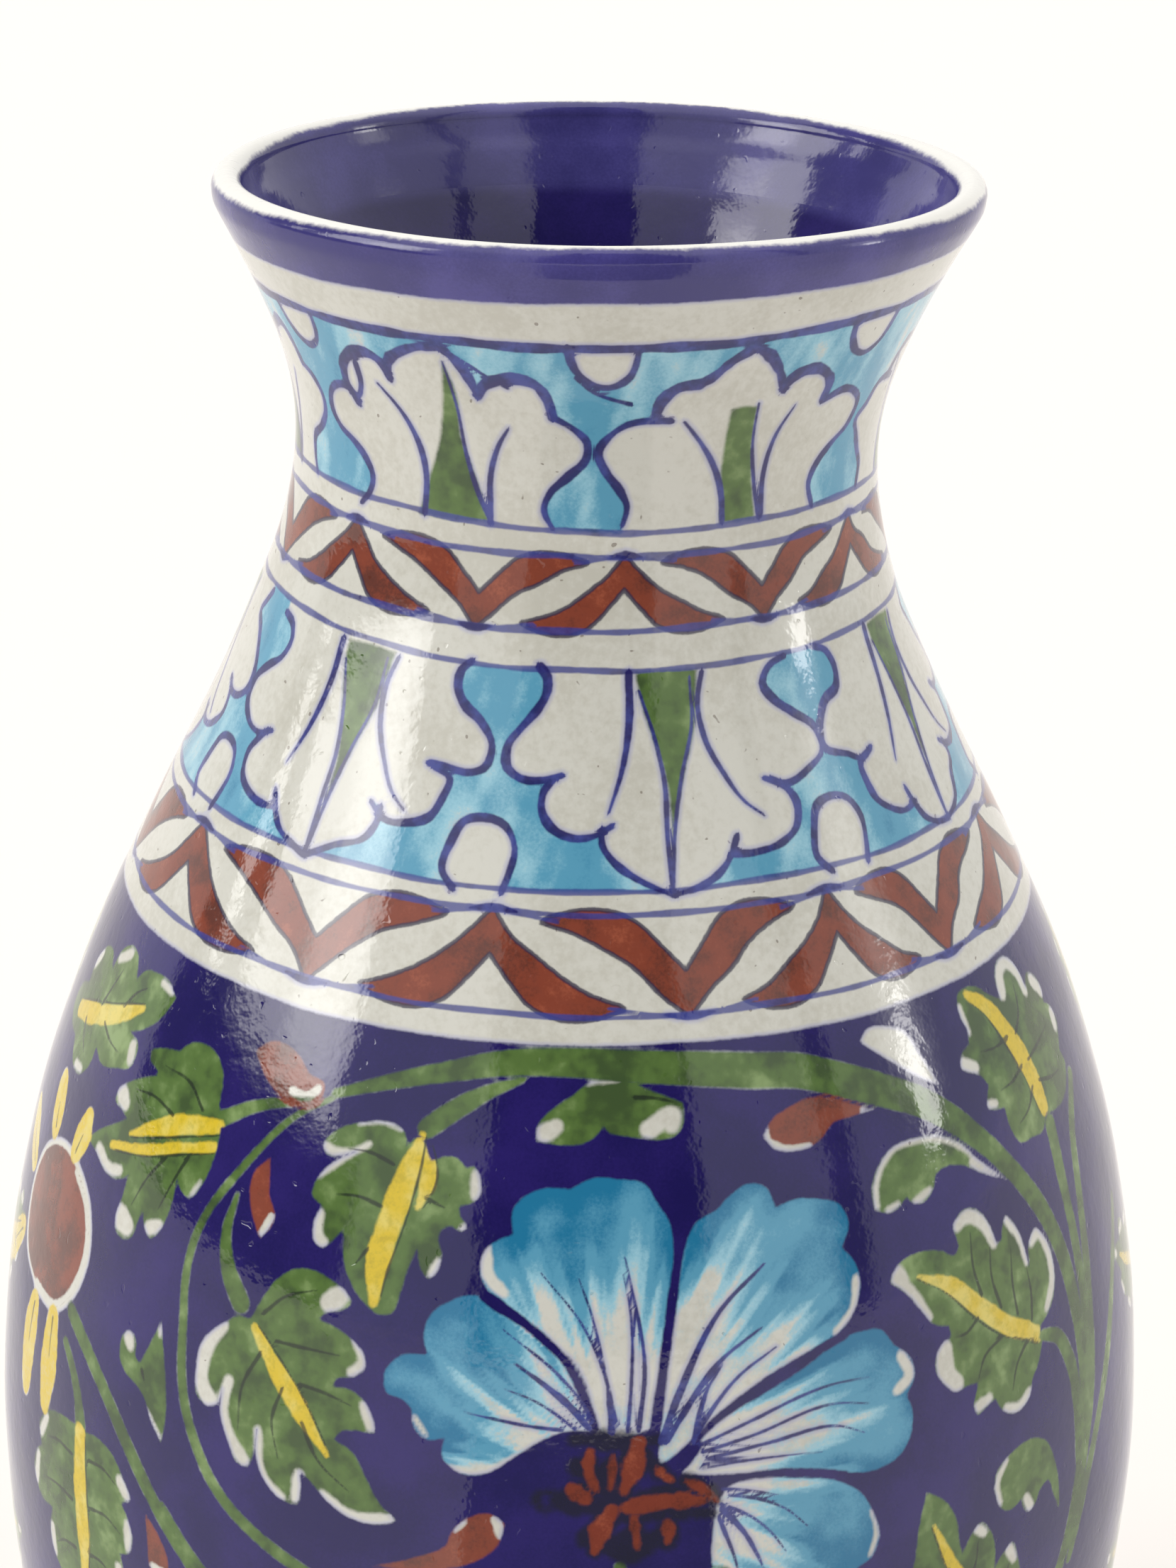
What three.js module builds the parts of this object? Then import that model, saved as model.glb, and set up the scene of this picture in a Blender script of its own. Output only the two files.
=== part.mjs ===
// A hand-painted quartz-paste vase, 254 mm tall, as the sections a potter makes and joins.
//
// A moulded lower bowl and upper bowl, a thrown neck, a rolled lip and a turned foot ring are
// luted rim to rim with thin seams of the same paste. Every section is a turned shell about +Z.
// Millimetres, +Z up, with the origin at the middle of the foot, on the surface it stands on.
import * as THREE from 'three';

// ---- driving dimensions -------------------------------------------------------------------

const HEIGHT = 254;
const WALL = 5;
const LIP_THICKNESS = 3.4;
const THROAT_Z = 223.7;

// The floor's top, and the soft turn from it into the wall: in from the wall, and up from the floor.
const FLOOR_TOP = 16;
const FLOOR_TURN_HEIGHT = 8;
const FLOOR_TURN = [
  [2.6, 3.8],
  [5.6, 1],
  [9.6, 0],
];

// Outer radius against height, from the top of the foot to just under the lip.
const OUTLINE = [
  [8.3, 41.0],
  [34, 55.4],
  [66, 66.2],
  [101.5, 70.1],
  [134.4, 66.4],
  [162.4, 57.3],
  [190.4, 43.8],
  [207.8, 36.3],
  [223.7, 33.35],
  [235.9, 35.9],
  [249.9, 42.75],
];

// Heights of the luted seams, and the paste in them.
const FOOT_SEAM = 8.3;
const BELLY_SEAM = 101.5;
const SHOULDER_SEAM = 207.8;
const LIP_SEAM = 244.9;
const SEAM_THICKNESS = 0.6;

// The bead of paste left along the inside of a seam, where a hand can't reach to wipe it flush.
const BEAD_HALF_HEIGHT = 4;
const BEAD_DEPTH = 1.6;
const BEAD_CLEARANCE = 0.3;

// The foot ring: a flat annulus below, slightly waisted, with rounded edges.
const FOOT_FLARE_R = 41.6;
const FOOT_WAIST_R = 40.3;
const FOOT_WAIST_Z = 4.8;
const FOOT_INNER_R = 33.2;
const FOOT_EDGE = 1.2;

// The lip's rounded crest.
const CREST_R = 41.75;
const CREST_STEPS = 6;
const CREST_INNER_DROP = 1;

// How finely a section is turned: sides around, and the height of one step along a wall.
const SEGMENTS = 48;
const WALL_STEP = 9;

// The colours of the sections, and how rough the glaze and the bare paste are.
const INDIGO_GLAZE = 0x2a2160;
const TURQUOISE_GLAZE = 0x5f8fae;
const WHITE_GLAZE = 0xcdcbbe;
const COBALT_GLAZE = 0x37308a;
const FOOT_PASTE = 0xcfc6b4;
const SEAM_PASTE = 0xd8d2c2;
const GLAZE_ROUGHNESS = 0.15;
const PASTE_ROUGHNESS = 0.8;

// ---- the outline as a smooth curve ----------------------------------------------------------

// A natural cubic spline through the knots, with its slope.
function naturalSpline(knots) {
  const last = knots.length - 1;
  const gap = (i) => knots[i + 1][0] - knots[i][0];
  const rise = (i) => (knots[i + 1][1] - knots[i][1]) / gap(i);
  const bend = new Array(last + 1).fill(0);
  const carry = new Array(last + 1).fill(0);
  const load = new Array(last + 1).fill(0);
  for (let i = 1; i < last; i++) {
    const pivot = 2 * (gap(i - 1) + gap(i)) - gap(i - 1) * carry[i - 1];
    carry[i] = gap(i) / pivot;
    load[i] = (6 * (rise(i) - rise(i - 1)) - gap(i - 1) * load[i - 1]) / pivot;
  }
  for (let i = last - 1; i > 0; i--) {
    bend[i] = load[i] - carry[i] * bend[i + 1];
  }
  const span = (z) => {
    let i = 0;
    while (i < last - 1 && z > knots[i + 1][0]) i++;
    return i;
  };
  const start = (i) => rise(i) - (gap(i) * (2 * bend[i] + bend[i + 1])) / 6;
  return {
    value(z) {
      const i = span(z);
      const t = z - knots[i][0];
      const cubic = (bend[i + 1] - bend[i]) / (6 * gap(i));
      return knots[i][1] + t * (start(i) + t * (bend[i] / 2 + t * cubic));
    },
    slope(z) {
      const i = span(z);
      const t = z - knots[i][0];
      return start(i) + t * (bend[i] + (t * (bend[i + 1] - bend[i])) / (2 * gap(i)));
    },
  };
}

const outline = naturalSpline(OUTLINE);

// The wall is even up to the throat, then thins towards the lip.
function wallAt(z) {
  const t = THREE.MathUtils.clamp((z - THROAT_Z) / (LIP_SEAM - THROAT_Z), 0, 1);
  return THREE.MathUtils.lerp(WALL, LIP_THICKNESS, t);
}

const outerRadius = (z) => outline.value(z);
const innerRadius = (z) => outline.value(z) - wallAt(z) * Math.hypot(1, outline.slope(z));

// Points on a wall from one height to another, evenly spaced, both ends included.
function wallPoints(radiusAt, from, to) {
  const steps = Math.max(2, Math.round(Math.abs(to - from) / WALL_STEP));
  return Array.from({ length: steps + 1 }, (_, i) => {
    const z = i === steps ? to : from + ((to - from) * i) / steps;
    return [radiusAt(z), z];
  });
}

// ---- turning a profile into a closed solid ---------------------------------------------------

function turned(name, profile, colour, roughness) {
  const points = profile.map(([r, z]) => new THREE.Vector2(r, z));
  const geometry = new THREE.LatheGeometry(points, SEGMENTS);
  geometry.rotateX(Math.PI / 2);
  const material = new THREE.MeshStandardMaterial({ color: colour, roughness, metalness: 0 });
  const mesh = new THREE.Mesh(geometry, material);
  mesh.name = name;
  return mesh;
}

const closed = (profile) => [...profile, profile[0]];

const seamTop = (z) => z + SEAM_THICKNESS / 2;
const seamBottom = (z) => z - SEAM_THICKNESS / 2;

// ---- sections ---------------------------------------------------------------------------------

function footRing() {
  const top = seamBottom(FOOT_SEAM);
  const profile = [
    [FOOT_INNER_R + FOOT_EDGE, 0],
    [FOOT_FLARE_R - FOOT_EDGE, 0],
    [FOOT_FLARE_R, FOOT_EDGE],
    [FOOT_WAIST_R, FOOT_WAIST_Z],
    [outerRadius(FOOT_SEAM), top],
    [FOOT_INNER_R, top],
    [FOOT_INNER_R, FOOT_EDGE],
  ];
  return turned('foot_ring', closed(profile), FOOT_PASTE, PASTE_ROUGHNESS);
}

// The bowl below the belly, with its flat floor and a soft turn into the wall.
function lowerBody() {
  const bottom = seamTop(FOOT_SEAM);
  const top = seamBottom(BELLY_SEAM);
  const wallStart = FLOOR_TOP + FLOOR_TURN_HEIGHT;
  const turnR = innerRadius(wallStart);
  const profile = [
    [0, bottom],
    ...wallPoints(outerRadius, bottom, top),
    ...wallPoints(innerRadius, top, wallStart),
    ...FLOOR_TURN.map(([inwards, up]) => [turnR - inwards, FLOOR_TOP + up]),
    [0, FLOOR_TOP],
  ];
  return turned('lower_body', profile, INDIGO_GLAZE, GLAZE_ROUGHNESS);
}

function shell(name, from, to, colour) {
  const bottom = seamTop(from);
  const top = seamBottom(to);
  const profile = [
    ...wallPoints(outerRadius, bottom, top),
    ...wallPoints(innerRadius, top, bottom),
  ];
  return turned(name, closed(profile), colour, GLAZE_ROUGHNESS);
}

// The flare above the neck, closed by a half-round crest.
function lip() {
  const bottom = seamTop(LIP_SEAM);
  const half = LIP_THICKNESS / 2;
  const centre = HEIGHT - half;
  const shoulder = OUTLINE[OUTLINE.length - 1][0];
  const crest = Array.from({ length: CREST_STEPS + 1 }, (_, i) => {
    const angle = (Math.PI * i) / CREST_STEPS;
    return [CREST_R + half * Math.cos(angle), centre + half * Math.sin(angle)];
  });
  const profile = [
    ...wallPoints(outerRadius, bottom, shoulder),
    ...crest,
    ...wallPoints(innerRadius, shoulder - CREST_INNER_DROP, bottom),
  ];
  return turned('lip', closed(profile), COBALT_GLAZE, GLAZE_ROUGHNESS);
}

// ---- luted seams -------------------------------------------------------------------------------

// A thin layer between two rims, with its bead standing proud along the inside of the joint.
function beadedSeam(name, z) {
  const top = seamTop(z);
  const bottom = seamBottom(z);
  const half = BEAD_HALF_HEIGHT;
  const back = (height) => innerRadius(height) - BEAD_CLEARANCE;
  const face = innerRadius(z) - BEAD_DEPTH;
  const profile = [
    [outerRadius(z), bottom],
    [outerRadius(z), top],
    [back(top), top],
    [back(z + half), z + half],
    [face, z + half / 2],
    [face, z - half / 2],
    [back(z - half), z - half],
    [back(bottom), bottom],
  ];
  return turned(name, closed(profile), SEAM_PASTE, PASTE_ROUGHNESS);
}

// A thin layer between two rims, wiped flush inside and out.
function flushSeam(name, z) {
  const profile = [
    [outerRadius(z), seamBottom(z)],
    [outerRadius(z), seamTop(z)],
    [innerRadius(z), seamTop(z)],
    [innerRadius(z), seamBottom(z)],
  ];
  return turned(name, closed(profile), SEAM_PASTE, PASTE_ROUGHNESS);
}

// The foot's seam lies under the bowl, with its fillet in the corner inside the ring.
function footSeam() {
  const top = seamTop(FOOT_SEAM);
  const bottom = seamBottom(FOOT_SEAM);
  const filletR = FOOT_INNER_R - BEAD_CLEARANCE;
  const profile = [
    [outerRadius(FOOT_SEAM), bottom],
    [outerRadius(FOOT_SEAM), top],
    [filletR - BEAD_DEPTH, top],
    [filletR, bottom - BEAD_DEPTH],
    [filletR, bottom],
  ];
  return turned('foot_seam', closed(profile), SEAM_PASTE, PASTE_ROUGHNESS);
}

// ---- the vase ----------------------------------------------------------------------------------

const vase = new THREE.Group();
vase.add(footRing());
vase.add(footSeam());
vase.add(lowerBody());
vase.add(beadedSeam('belly_seam', BELLY_SEAM));
vase.add(shell('upper_body', BELLY_SEAM, SHOULDER_SEAM, TURQUOISE_GLAZE));
vase.add(beadedSeam('shoulder_seam', SHOULDER_SEAM));
vase.add(shell('neck', SHOULDER_SEAM, LIP_SEAM, WHITE_GLAZE));
vase.add(flushSeam('lip_seam', LIP_SEAM));
vase.add(lip());

export default vase;
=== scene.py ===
"""A hand-painted quartz-paste vase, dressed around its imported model.

The outside of every section is one fine grid of rows up the outline and columns round it. Brushes
paint on that grid in the wall's own measure: degrees round from the front, and millimetres of
height. What they leave is the signed distance to each colour's edge, which the glaze's nodes turn
into paint with soft, bleeding edges.
"""

import math

import bpy
import numpy as np
from mathutils import Matrix


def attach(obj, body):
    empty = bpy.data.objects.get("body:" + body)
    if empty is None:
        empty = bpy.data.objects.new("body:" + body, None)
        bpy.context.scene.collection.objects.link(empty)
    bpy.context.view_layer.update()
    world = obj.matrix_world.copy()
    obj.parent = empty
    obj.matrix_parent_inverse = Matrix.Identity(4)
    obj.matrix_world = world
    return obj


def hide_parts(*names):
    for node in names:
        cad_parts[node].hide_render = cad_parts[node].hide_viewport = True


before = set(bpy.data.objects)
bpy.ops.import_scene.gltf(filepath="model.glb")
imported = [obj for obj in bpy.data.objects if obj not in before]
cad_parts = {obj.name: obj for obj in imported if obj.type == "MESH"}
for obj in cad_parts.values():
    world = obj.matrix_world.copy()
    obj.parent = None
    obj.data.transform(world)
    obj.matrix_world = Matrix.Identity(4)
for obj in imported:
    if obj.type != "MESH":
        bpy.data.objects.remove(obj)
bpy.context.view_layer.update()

# ---- the vase's outline, in millimetres ------------------------------------------------------

MM = 0.001
HEIGHT = 254.0
OUTLINE = (
    (8.3, 41.0), (34.0, 55.4), (66.0, 66.2), (101.5, 70.1), (134.4, 66.4), (162.4, 57.3),
    (190.4, 43.8), (207.8, 36.3), (223.7, 33.35), (235.9, 35.9), (249.9, 42.75),
)
FOOT_SEAM, BELLY_SEAM, SHOULDER_SEAM, LIP_SEAM = 8.3, 101.5, 207.8, 244.9
THROAT_Z = 223.7
WALL, LIP_THICKNESS = 5.0, 3.4
CREST_R = 41.75
FLOOR_TOP = 16.0
FLOOR_TURN_HEIGHT = 8.0
FLOOR_TURN = ((2.6, 3.8), (5.6, 1.0), (9.6, 0.0))    # in from the wall, and up from the floor
FOOT_INNER_R = 33.2
BEAD_DEPTH = 1.6

STEP = 0.42      # between rows of the fine grid
COLUMNS = 1060   # round the vase
HAIR = 0.02                             # an extra row this close to each seam keeps its shading true
FAR = 9.0                               # further from any paint than a brush reaches
STROKE_REACH = 1.6                      # how far round a stroke its distance is kept
FILL_REACH = 2.5                        # the same round a filled outline
THINNEST = 0.12                         # the finest a brush draws
OUTLINE_STEP = 0.7                      # between the points of a filled outline

FILLS = ("ground", "turquoise", "green", "yellow", "brown", "ribbon", "soot", "stamen")
PENS = ("line", "ring", "dark")         # thin strokes also keep their own middle line
OVERLAP = 0.3                           # colour runs this far under the cobalt that trims it


def natural_spline(knots):
    """The radius and its slope at a height, as a natural cubic through the knots."""
    z, r = np.array(knots).T
    gap = np.diff(z)
    rise = np.diff(r) / gap
    n = len(z)
    rows = np.eye(n)
    load = np.zeros(n)
    for i in range(1, n - 1):
        rows[i, i - 1:i + 2] = gap[i - 1], 2 * (gap[i - 1] + gap[i]), gap[i]
        load[i] = 6 * (rise[i] - rise[i - 1])
    bend = np.linalg.solve(rows, load)

    def at(height):
        i = np.clip(np.searchsorted(z, height) - 1, 0, n - 2)
        t = height - z[i]
        start = rise[i] - gap[i] * (2 * bend[i] + bend[i + 1]) / 6
        third = (bend[i + 1] - bend[i]) / gap[i]
        value = r[i] + t * (start + t * (bend[i] / 2 + t * third / 6))
        return value, start + t * (bend[i] + t * third / 2)

    return at


outline = natural_spline(OUTLINE)


def outer_radius(z):
    return outline(z)[0]


def inner_radius(z):
    value, slope = outline(z)
    thin = np.clip((z - THROAT_Z) / (LIP_SEAM - THROAT_Z), 0, 1)
    return value - (WALL + (LIP_THICKNESS - WALL) * thin) * np.hypot(1, slope)


def through(points, per_step=0.1):
    """A smooth curve through points: cubics whose slopes weigh their neighbours by distance."""
    p = np.array(points, float)
    length = np.maximum(np.linalg.norm(np.diff(p, axis=0), axis=1), 1e-6)
    slope = np.diff(p, axis=0) / length[:, None]
    tangent = np.vstack((slope[:1], slope[-1:])) if len(p) == 2 else np.empty_like(p)
    if len(p) > 2:
        tangent[0], tangent[-1] = slope[0], slope[-1]
        weigh = slope[:-1] * length[1:, None] + slope[1:] * length[:-1, None]
        tangent[1:-1] = weigh / (length[:-1] + length[1:])[:, None]
    pieces = []
    for i in range(len(length)):
        n = max(1, math.ceil(length[i] / per_step))
        t = np.arange(n)[:, None] / n
        a, b = tangent[i] * length[i], tangent[i + 1] * length[i]
        pieces.append(
            p[i] * (1 + t * t * (2 * t - 3)) + p[i + 1] * t * t * (3 - 2 * t)
            + a * t * (1 - t) ** 2 + b * t * t * (t - 1)
        )
    pieces.append(p[-1:])
    return np.vstack(pieces)


def outside_profile():
    """(radius, height) from the foot's edge, up the outside and over to the top of the crest."""
    foot = through([(40.4, 0), (41.3, 0.35), (41.6, 1.2), (40.9, 3.4), (40.45, 6.0), (41.0, FOOT_SEAM)])
    z = np.arange(FOOT_SEAM, OUTLINE[-1][0], 0.1)
    half = LIP_THICKNESS / 2
    centre = HEIGHT - half
    turn = np.radians(np.arange(0, 91, 3))
    crest = np.stack((CREST_R + half * np.cos(turn), centre + half * np.sin(turn)), 1)
    bevel = through([(42.75, 249.9), (43.3, 251.1), tuple(crest[0])])
    return np.vstack((foot[:-1], np.stack((outer_radius(z), z), 1), bevel[:-1], crest))


profile = outside_profile()
profile_arc = np.concatenate(([0], np.cumsum(np.linalg.norm(np.diff(profile, axis=0), axis=1))))


def arc_at(z):
    """Distance up the wall from the foot's edge, in millimetres."""
    return np.interp(z, profile[:, 1], profile_arc)


# ---- brushes ----------------------------------------------------------------------------------

rng = np.random.default_rng(11)


def ripple(x, seed):
    """A smooth, repeatable wander of about -1 to 1."""
    a, b, c = np.random.default_rng(seed).uniform(0, 2 * math.pi, 3)
    return (np.sin(x + a) + 0.6 * np.sin(2.3 * x + b) + 0.4 * np.sin(4.1 * x + c)) / 1.6


def blank_layers(shape):
    """Every painted layer with nothing on it."""
    layers = {name: np.full(shape, FAR, np.float32) for name in (*FILLS, *PENS)}
    layers.update({name + "_side": np.full(shape, FAR, np.float32) for name in PENS})
    layers.update({name + "_half": np.zeros(shape, np.float32) for name in PENS})
    layers["wash"] = np.ones(shape, np.float32)
    return layers


class Canvas:
    """The outside wall as a grid, with each layer's distance to the nearest edge of its paint."""

    def __init__(self):
        seams = [arc_at(z) for z in (FOOT_SEAM, BELLY_SEAM, SHOULDER_SEAM, LIP_SEAM)]
        ends = [0.0, *seams, profile_arc[-1]]
        rows = []
        for low, high in zip(ends, ends[1:]):
            inner = np.linspace(low + HAIR, high - HAIR, math.ceil((high - low) / STEP))
            rows += [low, *inner]
        self.s = np.array(rows + [ends[-1]])
        self.r = np.interp(self.s, profile_arc, profile[:, 0])
        self.z = np.interp(self.s, profile_arc, profile[:, 1])
        self.seam_rows = [int(np.argmin(abs(self.s - s))) for s in ends]
        self.pitch = 360 / COLUMNS
        self.deg = np.arange(COLUMNS) * self.pitch - 180
        shape = (len(self.s), COLUMNS)
        self.layers = blank_layers(shape)
        for name in ("reserve", "spared", "gap"):
            self.layers[name] = np.full(shape, FAR, np.float32)

    def window(self, deg, arc, reach):
        """Rows, columns and the columns' degrees within reach of some points."""
        i0, i1 = np.searchsorted(self.s, (np.min(arc) - reach, np.max(arc) + reach))
        spread = math.degrees(reach / max(self.r[min(i0, len(self.s) - 1)], 25))
        j = np.arange(
            math.floor((np.min(deg) - spread + 180) / self.pitch),
            math.ceil((np.max(deg) + spread + 180) / self.pitch) + 1,
        )
        return slice(i0, i1), j % COLUMNS, j * self.pitch - 180

    def lower(self, layer, rows, columns, distance):
        """Add paint to a layer where its distance is less than what is there."""
        block = self.layers[layer][rows]
        block[:, columns] = np.minimum(block[:, columns], distance)

    def segment(self, layer, a, b, half_a, half_b):
        """One straight bit of a stroke, with its half widths at both ends."""
        arc = arc_at(np.array((a[1], b[1])))
        grow = max(half_a, half_b) + STROKE_REACH
        rows, columns, deg = self.window((a[0], b[0]), arc, grow)
        if rows.stop <= rows.start:
            return
        radius = outer_radius((a[1] + b[1]) / 2)
        x = np.radians(deg - a[0])[None, :] * radius
        y = (self.s[rows] - arc[0])[:, None]
        along, up = math.radians(b[0] - a[0]) * radius, arc[1] - arc[0]
        t = np.clip((x * along + y * up) / max(along ** 2 + up ** 2, 1e-9), 0, 1)
        middle = np.hypot(x - t * along, y - t * up)
        half = half_a + (half_b - half_a) * t
        if layer in PENS:
            nearer = middle - half < self.layers[layer][rows][:, columns]
            side = np.copysign(middle, x * up - y * along)
            for name, value in ((layer + "_side", side), (layer + "_half", half)):
                block = self.layers[name][rows]
                block[:, columns] = np.where(nearer, value, block[:, columns])
        self.lower(layer, rows, columns, middle - half)

    def fill(self, loop):
        """The signed distance to a closed outline, and where on the wall it was taken."""
        arc = arc_at(loop[:, 1])
        rows, columns, deg = self.window(loop[:, 0], arc, FILL_REACH)
        y = self.s[rows][:, None]
        x = deg[None, :]
        distance = np.full((y.shape[0], x.shape[1]), FAR)
        inside = np.zeros(distance.shape, bool)
        for (da, sa, za), (db, sb, zb) in zip(
            np.column_stack((loop[:, 0], arc, loop[:, 1])),
            np.roll(np.column_stack((loop[:, 0], arc, loop[:, 1])), -1, axis=0),
        ):
            scale = math.radians(outer_radius((za + zb) / 2))
            px, py = (x - da) * scale, y - sa
            ex, ey = (db - da) * scale, sb - sa
            t = np.clip((px * ex + py * ey) / max(ex * ex + ey * ey, 1e-9), 0, 1)
            distance = np.minimum(distance, np.hypot(px - t * ex, py - t * ey))
            if sa != sb:
                inside ^= ((sa > y) != (sb > y)) & (x < (db - da) * (y - sa) / (sb - sa) + da)
        return rows, columns, deg, np.where(inside, -distance, distance)


canvas = Canvas()


def to_wall(points):
    """Points in degrees and height as millimetres round and up the wall, and millimetres a degree."""
    p = np.array(points, float)
    scale = math.radians(outer_radius(p[:, 1].mean()))
    return np.column_stack((p[:, 0] * scale, p[:, 1])), scale


def path(points, step=0.9):
    """A smooth line through points given in degrees and height."""
    p, scale = to_wall(points)
    line = through(p, step)
    return np.column_stack((line[:, 0] / scale, line[:, 1]))


def outline_of(runs):
    """A closed outline from runs of points: smooth along each run, cornered where two meet."""
    return np.vstack([path(run, OUTLINE_STEP)[:-1] for run in runs])


def taper(t, start, middle, end):
    """A brush's width along its stroke."""
    return start * (1 - t) * (1 - 2 * t) + 4 * middle * t * (1 - t) + end * t * (2 * t - 1)


def stroke(layer, points, start, middle, end, wander=0.08):
    """One stroke of the brush: full widths in millimetres at its start, middle and end."""
    line = path(points)
    width = taper(np.linspace(0, 1, len(line)), start, middle, end)
    seed = int(rng.integers(1 << 30))
    width = np.maximum(width * (1 + wander * ripple(np.linspace(0, 9, len(line)), seed)), THINNEST)
    for a, b, wa, wb in zip(line, line[1:], width, width[1:]):
        canvas.segment(layer, a, b, wa / 2, wb / 2)


def area(layer, runs, spared=()):
    """A patch of colour kept clear of the ground, with strokes of bare white spared inside it."""
    rows, columns, deg, distance = canvas.fill(outline_of(runs))
    canvas.lower("reserve", rows, columns, distance)
    canvas.layers["spared"].fill(FAR)
    for points, width in spared:
        stroke("spared", points, width, width, width * 0.85)
    bare = canvas.layers["spared"][rows][:, columns]
    canvas.lower(layer, rows, columns, np.maximum(distance - OVERLAP, -bare))
    return rows, columns, deg, distance


# ---- the painted rings ------------------------------------------------------------------------

# Each ring: its height, how far it climbs towards the sides, and how far it drops to the right.
RINGS = {
    "under_lip": (247.75, 0.3, -0.8),
    "band_top": (242.4, 1.0, -0.7),
    "lappets_1_low": (221.0, 0.95, 0.4),
    "chain_1_high": (218.2, 0.9, 0.1),
    "chain_1_low": (210.3, 0.7, 0.0),
    "lappets_2_high": (206.3, 1.1, 0.35),
    "lappets_2_low": (184.6, 0.0, 0.0),
    "chain_2_high": (182.45, 0.0, 0.0),
    "chain_2_low": (172.6, 0.1, 0.0),
    "ground_top": (169.7, 0.1, 0.0),
    "ground_low": (27.5, 0.0, 0.0),
    "foot_line": (22.5, 0.0, 0.0),
    "foot_top": (18.5, 0.0, 0.0),
}


def level(name, deg):
    """A ring's height without the shake of the hand."""
    base, climb, drop = RINGS[name]
    a = np.radians(deg)
    return base + climb * np.sin(a) ** 2 - drop * np.sin(a)


def ring_height(name, deg):
    """A ring's height as the hand drew it."""
    return level(name, deg) + 0.14 * ripple(np.radians(deg) * 5, sum(map(ord, name)))


def ring_distance(name):
    """Height above a ring, over the whole wall."""
    return canvas.s[:, None] - arc_at(ring_height(name, canvas.deg))[None, :]


def ring(name, layer, width):
    """A line drawn right round the vase on its turntable."""
    deg = np.arange(-180, 181, 1.5)
    line = np.column_stack((deg, ring_height(name, deg)))
    thick = width * (1 + 0.22 * ripple(np.radians(deg) * 13, sum(map(ord, name)) + 5))
    for a, b, wa, wb in zip(line, line[1:], thick, thick[1:]):
        canvas.segment(layer, a, b, wa / 2, wb / 2)


def paint_rings():
    ring("band_top", "line", 1.25)
    for name in ("lappets_1_low", "chain_1_high", "chain_1_low"):
        ring(name, "ring", 0.75)
    for name in ("lappets_2_high", "lappets_2_low", "chain_2_high", "chain_2_low"):
        ring(name, "ring", 0.68)
    ring("foot_line", "ring", 0.6)
    above = np.minimum(ring_distance("under_lip"), FAR)
    floral = np.maximum(ring_distance("ground_top"), -ring_distance("ground_low"))
    foot = ring_distance("foot_top")
    canvas.layers["ground"][:] = np.minimum(np.minimum(-above, floral), foot)


# ---- leaf lappets -----------------------------------------------------------------------------

# Half a standing lappet, from its tip out and down: fractions of its half width, and height.
# Each run is one scallop, and the brush lifts between runs.
STANDING_HALVES = (
    (
        ((0.0, 241.6), (0.09, 240.2), (0.17, 238.2), (0.225, 235.9)),
        ((0.225, 235.9), (0.27, 237.3), (0.38, 238.2), (0.52, 238.5), (0.65, 237.7), (0.72, 235.9),
         (0.75, 234.1)),
        ((0.75, 234.1), (0.9, 232.8), (1.0, 231.2), (1.0, 229.4), (0.87, 227.2), (0.74, 225.2),
         (0.7, 223.3), (0.77, 221.4)),
    ),
    (
        ((0.0, 241.6), (0.13, 241.2), (0.27, 240.1), (0.37, 238.6), (0.385, 236.6)),
        ((0.385, 236.6), (0.42, 238.3), (0.52, 239.2), (0.64, 238.7), (0.755, 236.8), (0.77, 234.6),
         (0.7, 232.6)),
        ((0.7, 232.9), (0.77, 234.1), (0.89, 233.9), (0.98, 232.5), (1.0, 230.7), (0.94, 229.0),
         (0.8, 227.6), (0.69, 226.0), (0.63, 224.2), (0.66, 222.2), (0.72, 221.0)),
    ),
    (
        ((0.0, 241.6), (0.14, 240.2), (0.27, 238.2), (0.4, 237.3)),
        ((0.34, 237.6), (0.48, 237.3), (0.58, 235.9), (0.62, 233.6)),
        ((0.5, 233.3), (0.66, 233.4), (0.8, 233.0), (0.93, 231.5), (1.0, 229.7), (0.94, 227.5),
         (0.82, 225.2), (0.76, 223.4), (0.79, 221.3)),
    ),
    (
        ((0.0, 241.6), (0.1, 240.4), (0.2, 238.2), (0.27, 235.9)),
        ((0.26, 236.2), (0.3, 237.2), (0.42, 238.0), (0.54, 237.3), (0.62, 235.7), (0.61, 233.8)),
        ((0.62, 233.6), (0.78, 234.4), (0.9, 233.8), (1.0, 232.1), (0.97, 229.7), (0.83, 227.8),
         (0.72, 226.0), (0.66, 223.8), (0.7, 221.2)),
    ),
)

# Half a hanging lappet, from its top down to its tip.
HANGING_HALVES = (
    (((0.81, 206.6), (0.755, 205.6), (0.75, 204.3), (0.8, 202.6), (0.9, 200.7), (1.0, 198.4),
      (0.99, 196.4), (0.9, 195.4), (0.74, 195.4), (0.64, 195.9)),
     ((0.68, 195.6), (0.745, 194.4), (0.76, 192.6), (0.7, 190.8), (0.58, 189.8), (0.44, 190.0),
      (0.33, 191.0)),
     ((0.39, 190.7), (0.395, 189.2), (0.33, 187.5), (0.2, 185.8), (0.0, 184.1))),
    (((0.88, 206.1), (0.75, 205.3), (0.69, 203.7), (0.74, 202.1), (0.86, 200.3), (0.99, 198.2),
      (1.0, 196.2), (0.86, 194.4), (0.7, 193.5), (0.58, 194.4)),
     ((0.62, 194.2), (0.7, 193.1), (0.74, 191.5), (0.71, 189.3), (0.6, 187.9), (0.45, 187.4),
      (0.31, 187.5)),
     ((0.36, 189.2), (0.31, 187.3), (0.23, 185.7), (0.1, 184.5), (0.0, 184.1))),
)

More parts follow.
